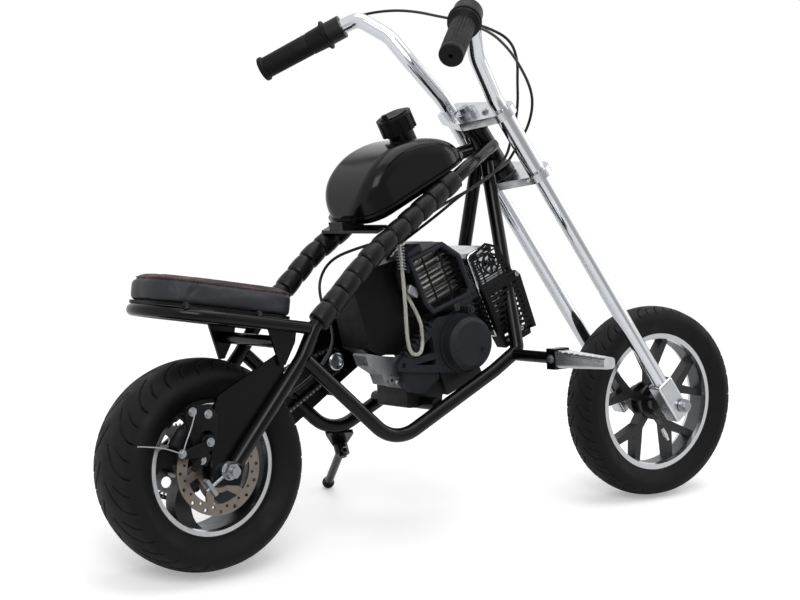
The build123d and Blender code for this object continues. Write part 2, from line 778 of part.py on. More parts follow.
# Slotted guard: a dished panel with louvres below, a mesh with a round vent above
panel_outline = [(55, 54), (99, 56), (120, 53), (125, 45), (121, -34), (110, -32), (108, -39), (60, -38), (56, -11)]
mesh_outline = [(54, 52), (54, 104), (87, 110), (104, 98), (115, 52)]
panel_back = -44.0
mesh_t = 2.0
vent_u, vent_w, vent_r = 84.0, 80.0, 15.0
with BuildPart() as muffler_guard:
    with BuildSketch(engine_side(panel_back)) as panel:
        Polygon(*panel_outline, align=None)
    extrude(panel.sketch, amount=panel_back - guard_face_y)
    fillet(muffler_guard.faces().sort_by(Axis.Y)[0].edges(), 2)
    with BuildSketch(engine_side(panel_back + 1)) as dish:
        Polygon(*panel_outline, align=None)
        offset(amount=-guard_t, mode=Mode.REPLACE)
    extrude(dish.sketch, amount=panel_back + 1 - guard_face_y - guard_t, mode=Mode.SUBTRACT)
    for i in range(louvres):
        w = -31 + louvre_pitch * i
        engine_box(64, 113, guard_face_y - 2, guard_face_y + guard_t + 2, w, w + louvre_gap, Mode.SUBTRACT)
    for u in (80, 96):
        engine_box(u, u + 2.2, guard_face_y + 1, guard_face_y + guard_t, -34, 50)
    for i in range(7):
        engine_box(48, 56, panel_back - 14, panel_back, -8 + 7.5 * i, -4 + 7.5 * i)
    with BuildSketch(engine_side(guard_face_y + mesh_t + 1)) as mesh:
        Polygon(*mesh_outline, align=None)
        offset(amount=-3.5, mode=Mode.SUBTRACT)
        for i in range(6):
            with Locations((85, 58 + 7.6 * i)):
                Rectangle(80, 1.8)
        for u in (66, 100):
            with Locations((u, 80)):
                Rectangle(1.8, 70)
        with Locations((vent_u, vent_w)):
            Circle(vent_r)
            Circle(vent_r - 2.4, mode=Mode.SUBTRACT)
            for turn in (20, 80, 140):
                Rectangle(2 * vent_r - 2, 2, rotation=turn)
            Circle(4.5)
        Polygon(*mesh_outline, align=None, mode=Mode.INTERSECT)
    extrude(mesh.sketch, amount=mesh_t)
    for u, w in ((62, 48), (104, 48), (64, 98), (90, 100)):
        rod(engine_at(u, guard_face_y + 1, w), engine_at(u, muffler_right - weld_gap, w), 3.5)
    take_off(muffler, cylinder_shroud, *loops.values())
pieces["muffler_guard"] = muffler_guard

# Air box and carburettor on the engine's intake side, cast gear case below them
with BuildPart() as air_box:
    outline = [
        (228, 205), (262, 238), (300, 246), (322, 238), (306, 168), (345, 152), (306, 116), (262, 120),
        (248, 128), (240, 165),
    ]
    plate(outline, -34, 30, 5)
    take_off(engine_block, cylinder_shroud, starter_housing, *rails.values())
pieces["air_box"] = air_box

with BuildPart() as carburettor:
    rod(engine_at(-64, -8, 92), engine_at(-24, -8, 92), 15)
    rod(engine_at(-50, -8, 92), engine_at(-50, -8, 126), 11)
    rod(engine_at(-50, -8, 72), engine_at(-50, -44, 72), 8)
    take_off(air_box, engine_block, cylinder_shroud, *rails.values(), *wraps.values())
pieces["carburettor"] = carburettor

with BuildPart() as gear_case:
    outline = [(240, 124), (274, 116), (306, 112), (310, 86), (300, 72), (272, 78), (267, 92), (246, 106)]
    plate(outline, -34, -4, 3)
    cross_rod(298, 80, -38, -4, 8.5)
    cross_rod(281, 84, -37, -4, 6)
    cross_rod(298, 80, -40, -30, 3.5, Mode.SUBTRACT)
    cross_rod(281, 84, -40, -30, 2.5, Mode.SUBTRACT)
    take_off(engine_block, air_box, starter_housing)
pieces["gear_case"] = gear_case

with BuildPart() as sump_cover:
    plate([(288, 100), (340, 96), (350, 84), (322, 62), (302, 66), (290, 80)], case_right - 3, case_right - 0.1 + 8, 4)
    take_off(engine_block, starter_housing, gear_case, cross_bars)
pieces["sump_cover"] = sump_cover

# Fuel tank: plan outline and side outline cut from one block, edges rounded
tank_plane = Plane(
    origin=(tank_x, 0, tank_z),
    x_dir=(cos(radians(tank_tilt)), 0, sin(radians(tank_tilt))),
    z_dir=(-sin(radians(tank_tilt)), 0, cos(radians(tank_tilt))),
)


def tank_plan(level, grow):
    """The tank's plan outline at a level, grown or shrunk all round."""
    half_wide = tank_half_wide + grow
    with BuildSketch(tank_plane.offset(level)) as outline:
        with Locations((tank_len / 2, 0)):
            RectangleRounded(tank_len + 2 * grow, 2 * half_wide, min(tank_corner + grow, half_wide - 1))
    return outline.sketch


with BuildPart() as fuel_tank:
    extrude(tank_plan(0, 0), amount=tank_high + 5)
    side_plane = Plane(
        origin=tank_plane.from_local_coords(Vector(0, tank_half_wide + 5, 0)),
        x_dir=tank_plane.x_dir,
        z_dir=(0, -1, 0),
    )
    with BuildSketch(side_plane) as side_view:
        with BuildLine():
            back_curve = ThreePointArc((-1, 6), (30, tank_high - 17), (80, tank_high))
            front_curve = TangentArc(back_curve @ 1, (tank_len + 1, 4), tangent=back_curve % 1)
            Polyline(front_curve @ 1, (tank_len + 1, -1), (-1, -1), back_curve @ 0)
        make_face()
    extrude(side_view.sketch, amount=2 * tank_half_wide + 10, mode=Mode.INTERSECT)
    crown = [f for f in fuel_tank.faces() if f.normal_at().dot(tank_plane.z_dir) > 0.25]
    crown_edges = [e for f in crown for e in f.edges()]
    rim_edges = [e for e in crown_edges if sum((o.center() - e.center()).length < 0.01 for o in crown_edges) == 1]
    fillet(rim_edges, tank_round)
    extrude(tank_plan(-flange_t, flange_out), amount=flange_t)
    extrude(tank_plan(-flange_t - tank_pan_high, -tank_pan_in), amount=tank_pan_high)
    neck_foot = tank_plane.from_local_coords(Vector(neck_from, 0, tank_high / 2))
    with Locations(Plane(origin=neck_foot, z_dir=tank_plane.z_dir).location):
        Cylinder(neck_d / 2, tank_high / 2 + 1.5, align=(Align.CENTER, Align.CENTER, Align.MIN))
    take_off(*rails.values(), *wraps.values())
pieces["fuel_tank"] = fuel_tank

low_align = (Align.CENTER, Align.CENTER, Align.MIN)
with BuildPart() as fuel_cap:
    cap_foot = tank_plane.from_local_coords(Vector(neck_from, 0, tank_high + 1.5 + weld_gap))
    with Locations(Plane(origin=cap_foot, x_dir=tank_plane.x_dir, z_dir=tank_plane.z_dir).location):
        Cylinder(cap_d / 2, cap_high, align=low_align)
        with PolarLocations(cap_d / 2 + 1, 12):
            Cylinder(3, cap_high - 3, align=low_align, mode=Mode.SUBTRACT)
        with Locations((0, 0, cap_high)):
            Cylinder(cap_d / 2 - 6, 2, align=low_align)
        with Locations((-14, 0, cap_high)):
            Cylinder(4, 7, align=low_align)
pieces["fuel_cap"] = fuel_cap

# Cross straps between the rails that carry the tank, and the tab at its rear
with BuildPart() as tank_bracket:
    plate([(246, 283.5), (262, 290.5), (262, 294.5), (246, 287.5)], 4 - rail_y, rail_y - 4)
    plate([(380, 349.5), (396, 356.5), (396, 361.5), (380, 353.5)], 4 - rail_y, rail_y - 4)
    plate([(226, 288), (262, 290.5), (262, 294.5), (224, 300)], -16, 16, 1)
    take_off(fuel_tank, *rails.values(), *wraps.values())
pieces["tank_bracket"] = tank_bracket

# Seat pan and pad
with BuildPart() as seat_pan:
    with BuildSketch(seat_plane.offset(seat_tube_d / 2 + soft_gap)) as outline:
        with Locations((pad_mid_x, 0)):
            RectangleRounded(2 * pad_half_len - 8, 2 * pad_half_wide + 8, pad_corner)
    extrude(outline.sketch, amount=pan_t)
pieces["seat_pan"] = seat_pan

with BuildPart() as seat_pad:
    pad_floor = seat_tube_d / 2 + pan_t + 2 * soft_gap
    with BuildSketch(seat_plane.offset(pad_floor)) as outline:
        with Locations((pad_mid_x, 0)):
            RectangleRounded(2 * pad_half_len, 2 * pad_half_wide, pad_corner)
    extrude(outline.sketch, amount=pad_t)
    fillet(seat_pad.faces().sort_by(Axis.Z)[-1].edges(), pad_edge)
pieces["seat_pad"] = seat_pad

# Fuel hose: a loop under the rail, past a small filter
hose_d = 8.0
hose_points = [
    (292, -48, 287.5), (288, -60, 242.5), (286, -67, 162.5), (292, -67, 120.5), (314, -64, 120.5),
    (318, -60, 162.5), (299, -48, 204),
]
with BuildPart() as fuel_hose:
    tube(hose_points, [20, 60, 9, 9, 40], hose_d)
    take_off(engine_block, cylinder_shroud, air_box, gear_case, starter_housing, *rails.values(), *wraps.values())
pieces["fuel_hose"] = fuel_hose
with BuildPart() as fuel_filter:
    rod((297.5, -48, 207), (292, -46, 232), 7)
    rod((298.5, -48.5, 202.5), (291, -45.5, 236.5), 3)
    take_off(fuel_hose, air_box, engine_block, cylinder_shroud, *rails.values(), *wraps.values())
pieces["fuel_filter"] = fuel_filter

# Foot pegs: tapered bars with a notched top, in clamps on the ends of two stubs
peg_from = peg_arm_end + peg_block
with BuildPart() as peg_arms:
    for s in (1, -1):
        rod((peg_x, s * loop_y, peg_z), (peg_x, s * peg_arm_end, peg_z), 8)
        with Locations((peg_x, s * (peg_arm_end + peg_block / 2), peg_z)):
            Box(26, peg_block, 28)
    take_off(*loops.values())
pieces["peg_arms"] = peg_arms
with BuildPart() as foot_pegs:
    for s in (1, -1):
        inner_plane = Plane(origin=(peg_x, s * peg_from, peg_z), x_dir=(1, 0, 0), z_dir=(0, s, 0))
        tip_plane = Plane(origin=(peg_x, s * (peg_from + peg_len), peg_z - 1), x_dir=(1, 0, 0), z_dir=(0, s, 0))
        with BuildSketch(inner_plane) as root:
            RectangleRounded(24, 24, 5)
        with BuildSketch(tip_plane) as tip:
            RectangleRounded(19, 15, 5)
        loft(sections=[root.sketch, tip.sketch])
        for i in range(7):
            y = s * (peg_from + 14 + 11.5 * i)
            top = peg_z + 12.6 - 0.52 * i
            rod((peg_x - 20, y, top), (peg_x + 20, y, top), 3.4, Mode.SUBTRACT)
pieces["foot_pegs"] = foot_pegs

# Stand bracket and side stand
foot = (stand_foot_x, stand_foot_y, foot_z)
fold_dir = Vector(-1, 0, 0.1).normalized()
leg_dir = (Vector(*foot) - Vector(*stand_pivot)).normalized()
stand_axis = leg_dir.cross(fold_dir).normalized()
pivot = Vector(*stand_pivot)
pivot_pin_r = 5.0
with BuildPart() as stand_bracket:
    rod(pivot - stand_axis * 12, pivot + stand_axis * 12, pivot_pin_r)
    ear_plane = Plane(origin=pivot + stand_axis * 8.3, x_dir=(1, 0, 0), z_dir=stand_axis)
    with BuildSketch(ear_plane) as ear:
        Circle(pivot_pin_r + 6)
        for x in (250, 284):
            corner = ear_plane.to_local_coords(Vector(x, loop_y, 4.5))
            with Locations((corner.X, corner.Y)):
                Circle(5)
        make_hull()
    extrude(ear.sketch, amount=5)
    take_off(loops["left"])
pieces["stand_bracket"] = stand_bracket
with BuildPart() as side_stand:
    rod(pivot - stand_axis * 8, pivot + stand_axis * 8, pivot_pin_r * 2)
    rod(pivot, foot, stand_d / 2)
    with Locations(foot):
        Sphere(foot_r)
    rod(pivot - stand_axis * 30, pivot + stand_axis * 30, pivot_pin_r + running_gap, Mode.SUBTRACT)
pieces["side_stand"] = side_stand

# Fork, clamps and bars
sleeve_low = lower_clamp_s + clamp_t / 2 + weld_gap
sleeve_high = upper_clamp_s - clamp_t / 2 - weld_gap
with BuildPart() as fork_tubes:
    for s in (1, -1):
        rod(on_fork(-fork_back, s * fork_y, fork_foot), on_fork(-fork_back, s * fork_y, fork_top), fork_d / 2)
        rod(on_fork(-fork_back, s * fork_y, sleeve_low), on_fork(-fork_back, s * fork_y, sleeve_high), sleeve_d / 2)
steering["fork_tubes"] = fork_tubes

with BuildPart() as fork_ends:
    for s in (1, -1):
        middle = on_fork(-fork_back, s * fork_y, fork_foot + 3)
        with Locations(Plane(origin=middle, x_dir=fork_plane.x_dir, z_dir=fork_plane.z_dir).location):
            Box(*fork_end_size)
    fillet(fork_ends.edges(), fork_end_round)
    cross_rod(wheelbase, front_axle_z, -2 * fork_y, 2 * fork_y, axle_r + weld_gap, Mode.SUBTRACT)
    take_off(fork_tubes)
steering["fork_ends"] = fork_ends

# Bars from the fork tubes' tops to the ends of the grips: forward, out from the tube, up from its top
bar_shape = [(-9.4, 20, 87), (-5.1, 41, 127), (-14.5, 76, 166), (-48.3, 106.8, 167), (-133.2, 175, 167.7)]
bar_bends = [50, 60, 40, 22, 30]
bar_points = {
    s: [on_fork(-fork_back, s * fork_y, fork_top), on_fork(-fork_back, s * fork_y, fork_top + 16)]
    + [on_fork(x, s * (fork_y + out), fork_top + up) for x, out, up in bar_shape]
    for s in (1, -1)
}
with BuildPart() as handlebars:
    for s in (1, -1):
        tube(bar_points[s], bar_bends, bar_d)
steering["handlebars"] = handlebars


def grip_line(s):
    """Where one grip starts, where its bar ends, and the direction from one to the other."""
    inner, outer = bar_points[s][-2:]
    return inner, outer, (outer - inner).normalized()


with BuildPart() as grips:
    for s in (1, -1):
        inner, outer, along = grip_line(s)
        rod(inner + along * 4, outer + along * 6, grip_d / 2)
        rod(inner + along * 4, inner + along * (4 + grip_disc_t), grip_disc_r)
    for s in (1, -1):
        inner, outer, along = grip_line(s)
        rod(inner, outer + along, bar_d / 2 + weld_gap, Mode.SUBTRACT)
steering["grips"] = grips


def clamp_plate(at_s, thickness):
    """A fork clamp: a plate with three eyes, for the two fork tubes and the stem."""
    level = Plane(origin=on_fork(0, 0, at_s - thickness / 2), x_dir=fork_plane.x_dir, z_dir=fork_plane.z_dir)
    with BuildSketch(level) as outline:
        with Locations((-fork_back, fork_y), (-fork_back, -fork_y)):
            Circle(sleeve_d / 2 + 6)
        with Locations((-stem_back, 0)):
            Circle(stem_r + 9)
        make_hull()
    extrude(outline.sketch, amount=thickness)
    with BuildSketch(level) as holes:
        with Locations((-fork_back, fork_y), (-fork_back, -fork_y)):
            Circle(fork_d / 2 + weld_gap)
        with Locations((-stem_back, 0)):
            Circle(stem_r + weld_gap)
    extrude(holes.sketch, amount=thickness, mode=Mode.SUBTRACT)


with BuildPart() as lower_clamp:
    clamp_plate(lower_clamp_s, clamp_t)
steering["lower_clamp"] = lower_clamp
with BuildPart() as upper_clamp:
    clamp_plate(upper_clamp_s, clamp_t)
steering["upper_clamp"] = upper_clamp
with BuildPart() as steering_stem:
    stem_top = upper_clamp_s + clamp_t / 2
    rod(on_fork(-stem_back, 0, lower_clamp_s - 8), on_fork(-stem_back, 0, stem_top + 4), stem_r)
    rod(on_fork(-stem_back, 0, stem_top + 0.2), on_fork(-stem_back, 0, stem_top + 8), stem_r + 3)
steering["steering_stem"] = steering_stem

fork_out = fork_y + fork_end_size[1] / 2
fork_in = fork_y - fork_end_size[1] / 2
with BuildPart() as front_axle:
    cross_rod(wheelbase, front_axle_z, -fork_out - 3.5, fork_out + 3.5, axle_r)
    for s in (-1, 1):
        low, high = sorted((s * (fork_out + 1), s * (fork_out + 6)))
        cross_rod(wheelbase, front_axle_z, low, high, 10)
        low, high = sorted((s * (front_hub_half + soft_gap), s * (fork_in - weld_gap)))
        cross_rod(wheelbase, front_axle_z, low, high, 10)
steering["front_axle"] = front_axle

with BuildPart() as throttle_housing:
    inner, outer, along = grip_line(-1)
    rod(inner - along * 24, inner + along * 3.5, grip_disc_r - 2)
    fillet(throttle_housing.edges(), 3)
    rod(inner - along * 40, inner + along * 20, bar_d / 2 + weld_gap, Mode.SUBTRACT)
    take_off(handlebars)
steering["throttle_housing"] = throttle_housing

# Lever: its perch on the bar, then a rod that bends back along the grip
lever_shape = [(-26.2, 110, 163), (-16.4, 130, 149), (-82.4, 183, 148.5)]
with BuildPart() as brake_lever:
    inner, outer, along = grip_line(1)
    rod(inner - along * 20, inner + along * 3.5, grip_disc_r - 5)
    rod(inner - along * 40, inner + along * 20, bar_d / 2 + weld_gap, Mode.SUBTRACT)
    take_off(handlebars)
    tube([on_fork(x, fork_y + out, fork_top + up) for x, out, up in lever_shape], [14], 9)
steering["brake_lever"] = brake_lever

# The steering and the front wheel are turned a little, as they stand
turn = Axis(tuple(on_fork(-stem_back, 0, 0)), tuple(steer_dir))
for name in ("front_tyre", "front_rim"):
    pieces[name].part = pieces[name].part.rotate(turn, steer_turn)
for name, piece in steering.items():
    piece.part = piece.part.rotate(turn, steer_turn)
    pieces[name] = piece

# Everything leans to the left until tyres and stand meet the floor
leaning = Rotation(-lean, 0, 0)
for piece in pieces.values():
    piece.part = leaning * piece.part
boxes = [piece.part.bounding_box() for piece in pieces.values()]
back_x, front_x = min(b.min.X for b in boxes), max(b.max.X for b in boxes)
right_y, left_y = min(b.min.Y for b in boxes), max(b.max.Y for b in boxes)
standing = Pos(-(back_x + front_x) / 2, -(right_y + left_y) / 2, -min(b.min.Z for b in boxes))
for name, piece in pieces.items():
    piece.part = standing * piece.part
    piece.part.label = name
    export_step(piece.part, f"parts/{name}.step")
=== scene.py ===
import json
from math import asin, atan2, cos, exp, pi, radians, sin, sqrt

import bmesh
import bpy
from mathutils import Matrix, Vector
from mathutils.bvhtree import BVHTree


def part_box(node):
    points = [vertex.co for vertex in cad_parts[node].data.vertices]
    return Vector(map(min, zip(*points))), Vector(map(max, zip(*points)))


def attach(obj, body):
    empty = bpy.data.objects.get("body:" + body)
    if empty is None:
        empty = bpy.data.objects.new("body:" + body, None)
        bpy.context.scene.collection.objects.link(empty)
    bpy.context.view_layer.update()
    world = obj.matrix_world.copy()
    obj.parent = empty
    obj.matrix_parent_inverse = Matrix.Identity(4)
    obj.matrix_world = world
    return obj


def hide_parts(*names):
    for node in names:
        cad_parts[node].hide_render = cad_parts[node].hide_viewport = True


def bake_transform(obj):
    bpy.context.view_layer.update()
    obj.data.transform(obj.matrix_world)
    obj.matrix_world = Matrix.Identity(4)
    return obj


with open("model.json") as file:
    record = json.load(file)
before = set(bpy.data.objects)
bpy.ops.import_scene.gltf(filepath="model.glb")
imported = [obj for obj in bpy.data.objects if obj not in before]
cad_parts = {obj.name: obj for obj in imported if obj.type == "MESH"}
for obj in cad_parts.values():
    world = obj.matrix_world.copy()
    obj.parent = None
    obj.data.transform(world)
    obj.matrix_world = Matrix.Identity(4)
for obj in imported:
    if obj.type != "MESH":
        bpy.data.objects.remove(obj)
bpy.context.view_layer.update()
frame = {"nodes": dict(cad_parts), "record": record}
print("frame loaded:", len(frame["nodes"]), "nodes")

# The bike's own directions, in mm: x forward, y to its left, z up from the rear axle, before it leans.
bike = {"lean": 12.0, "wheelbase": 778.5, "frontAxleZ": 4.154, "rake": 34.6, "stemBack": 20.0, "steerTurn": -2.9}
axleLow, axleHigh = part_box("rear_axle")
leaning = Matrix.Rotation(radians(-bike["lean"]), 4, "X")
standing = Matrix.Translation((axleLow + axleHigh) / 2)
placeBike = standing @ leaning @ Matrix.Scale(0.001, 4)
rake = radians(bike["rake"])
forkX = Vector((cos(rake), 0, sin(rake)))
forkUp = Vector((-sin(rake), 0, cos(rake)))
frontAxle = Vector((bike["wheelbase"], 0, bike["frontAxleZ"]))
stemFoot = frontAxle - forkX * bike["stemBack"]
steerTurn = Matrix.Translation(stemFoot) @ Matrix.Rotation(radians(bike["steerTurn"]), 4, forkUp)
placeFork = placeBike @ steerTurn @ Matrix.Translation(-stemFoot)
places = {"frame": placeBike, "rear_wheel": placeBike, "steering": placeFork, "front_wheel": placeFork}


def put(point, body="frame"):
    # a point of a body's own, in mm, as the scene has it in metres
    return places[body] @ Vector(point)


def heading(direction, body="frame"):
    # a direction of a body's own, one metre long in the scene
    return (places[body].to_3x3() @ Vector(direction)).normalized()


def onFork(x, y, s):
    # a point from the fork's directions: x forward, y left, s up the fork from the axle
    return frontAxle + forkX * x + Vector((0, y, 0)) + forkUp * s


def addObject(name, data):
    thing = bpy.data.objects.new(name, data)
    bpy.context.scene.collection.objects.link(thing)
    return thing


camera = {
    "at": (-1220.6, -2180.5, 364.9), "yaw": 0.954, "pitch": 0.066, "roll": -0.041,
    "focalPx": 1953.9, "widthPx": 800, "sensor": 36, "farthest": 50,
}


def makeCamera():
    yaw, pitch, roll = camera["yaw"], camera["pitch"], camera["roll"]
    look = Vector((cos(yaw) * cos(pitch), sin(yaw) * cos(pitch), -sin(pitch)))
    level = Vector((sin(yaw), -cos(yaw), 0))
    up = level.cross(look)
    right = level * cos(roll) + up * sin(roll)
    up = up * cos(roll) - level * sin(roll)
    turn = Matrix((right, up, -look)).transposed().to_4x4()
    lens = bpy.data.cameras.new("camera")
    lens.sensor_width = camera["sensor"]
    lens.sensor_fit = "HORIZONTAL"
    lens.lens = camera["focalPx"] / camera["widthPx"] * lens.sensor_width
    lens.clip_end = camera["farthest"]
    holder = addObject("camera", lens)
    holder.matrix_world = standing @ leaning @ Matrix.Translation(Vector(camera["at"]) / 1000) @ turn
    bpy.context.scene.camera = holder


makeCamera()


def toLinear(code, alpha=1.0):
    # sRGB hex to the linear colour that a shader reads
    parts = [int(code[i : i + 2], 16) / 255 for i in (1, 3, 5)]
    return tuple(c / 12.92 if c <= 0.04045 else ((c + 0.055) / 1.055) ** 2.4 for c in parts) + (alpha,)


def addNode(tree, kind, settings=None, **inputs):
    # adds one node, sets it and joins it: an input is a value, an output, a node for its first output, or several
    node = tree.nodes.new(kind)
    for name, value in (settings or {}).items():
        setattr(node, name, value)
    for name, value in inputs.items():
        key = int(name[2:]) if name.startswith("in") and name[2:].isdigit() else name.replace("_", " ")
        for source in value if isinstance(value, list) else [value]:
            source = source.outputs[0] if isinstance(source, bpy.types.Node) else source
            if isinstance(source, bpy.types.NodeSocket):
                tree.links.new(source, node.inputs[key])
            else:
                node.inputs[key].default_value = source
    return node


# settings that many nodes share
colours, bySize, toThat = {"data_type": "RGBA"}, {"operation": "LENGTH"}, {"operation": "DOT_PRODUCT"}
plus, minus, times = {"operation": "ADD"}, {"operation": "SUBTRACT"}, {"operation": "MULTIPLY"}
larger, softly = {"operation": "MAXIMUM"}, {"interpolation_type": "SMOOTHSTEP"}
vectors, numbers = {"data_type": "FLOAT_VECTOR"}, {"data_type": "FLOAT"}
materials = {}


def startMaterial(name):
    # an empty material, and the place of each point on the object for its patterns
    material = bpy.data.materials.new(name)
    material.use_nodes = True
    material.node_tree.nodes.clear()
    materials[name] = material
    return material.node_tree, addNode(material.node_tree, "ShaderNodeTexCoord").outputs["Object"]


def twoTones(tree, place, patch, tones, detail=3.0):
    # a noise whose patches are so many mm wide, and the two tones that it mixes
    noise = addNode(tree, "ShaderNodeTexNoise", Vector=place, Scale=1000 / patch, Detail=detail)
    low, high = toLinear(tones[0]), toLinear(tones[1])
    return noise, addNode(tree, "ShaderNodeMix", colours, in0=noise, in6=low, in7=high).outputs[2]


def coat(tree, **look):
    # ends a material in its shader
    shader = addNode(tree, "ShaderNodeBsdfPrincipled", **look)
    addNode(tree, "ShaderNodeOutputMaterial", Surface=shader)


studio = {
    "lamps": {
        "keyLight": dict(power=40, size=1.6, at=(-1.6, -1.9, 2.3), aim=(0, 0, 0.35)),
        "topLight": dict(power=32, size=2.2, at=(0.3, 0.2, 2.6), aim=(0, 0, 0.3)),
        "fillLight": dict(power=11, size=1.4, at=(2.1, -0.4, 1.3), aim=(0, 0, 0.35)),
    },
    "world": 0.45, "darkSide": (-0.2, -0.97, 0.05), "darkest": 0.07, "darkEdge": (0.5, 0.82),
    "floorHalf": 4.0, "floorPatch": 1000 / 3, "floorTones": ("#f2f2f2", "#f6f6f6"), "floorGlow": 0.35,
    "floorFade": (0.7, 1.7),
}


def lightWorld():
    # polished metal shows the white sweep all round, but for a dark part of the room on one side
    world = bpy.data.worlds.new("studio")
    bpy.context.scene.world = world
    world.use_nodes = True
    tree = world.node_tree
    tree.nodes.clear()
    path = addNode(tree, "ShaderNodeLightPath")
    around = addNode(tree, "ShaderNodeTexCoord").outputs["Generated"]
    side = addNode(tree, "ShaderNodeVectorMath", toThat, in0=around, in1=Vector(studio["darkSide"]).normalized())
    start, stop = studio["darkEdge"]
    room = addNode(
        tree, "ShaderNodeMapRange", softly, Value=side.outputs["Value"],
        From_Min=start, From_Max=stop, To_Min=1.0, To_Max=studio["darkest"],
    )
    mirrored = addNode(tree, "ShaderNodeMath", times, in0=path.outputs["Is Glossy Ray"], in1=room)
    seen = addNode(tree, "ShaderNodeMath", larger, in0=path.outputs["Is Camera Ray"], in1=mirrored)
    through = addNode(tree, "ShaderNodeMath", larger, in0=seen, in1=path.outputs["Is Transmission Ray"])
    strength = addNode(tree, "ShaderNodeMapRange", Value=through, To_Min=studio["world"], To_Max=1.0)
    back = addNode(tree, "ShaderNodeBackground", Color=(1, 1, 1, 1), Strength=strength)
    addNode(tree, "ShaderNodeOutputWorld", Surface=back)


def hangLamps():
    for name, lamp in studio["lamps"].items():
        area = bpy.data.lights.new(name, "AREA")
        area.energy, area.size = lamp["power"], lamp["size"]
        holder = addObject(name, area)
        holder.location = lamp["at"]
        holder.rotation_euler = (Vector(lamp["aim"]) - Vector(lamp["at"])).to_track_quat("-Z", "Y").to_euler()


def layFloor():
    # matt white studio sweep: it fades into the white behind it
    edge = studio["floorHalf"]
    mesh = bpy.data.meshes.new("floor")
    mesh.from_pydata([(-edge, -edge, 0), (edge, -edge, 0), (edge, edge, 0), (-edge, edge, 0)], [], [(0, 1, 2, 3)])
    tree, place = startMaterial("mattWhiteSweep")
    mesh.materials.append(materials["mattWhiteSweep"])
    far = addNode(tree, "ShaderNodeVectorMath", bySize, in0=place)
    near, gone = studio["floorFade"]
    fade = addNode(tree, "ShaderNodeMapRange", softly, Value=far.outputs["Value"], From_Min=near, From_Max=gone)
    tone = twoTones(tree, place, studio["floorPatch"], studio["floorTones"], detail=2.0)[1]
    matt = addNode(tree, "ShaderNodeBsdfDiffuse", Color=tone)
    path = addNode(tree, "ShaderNodeLightPath")
    glow = addNode(tree, "ShaderNodeMath", times, in0=path.outputs["Is Camera Ray"], in1=studio["floorGlow"])
    shine = addNode(tree, "ShaderNodeEmission", Color=tone, Strength=glow)
    lit = addNode(tree, "ShaderNodeAddShader", in0=matt, in1=shine)
    clear = addNode(tree, "ShaderNodeBsdfTransparent")
    both = addNode(tree, "ShaderNodeMixShader", in0=fade, in1=lit, in2=clear)
    addNode(tree, "ShaderNodeOutputMaterial", Surface=both)
    addObject("floor", mesh)


bpy.context.scene.view_settings.view_transform = "Standard"
lightWorld()
hangLamps()
layFloor()
print("camera, floor and lights made")

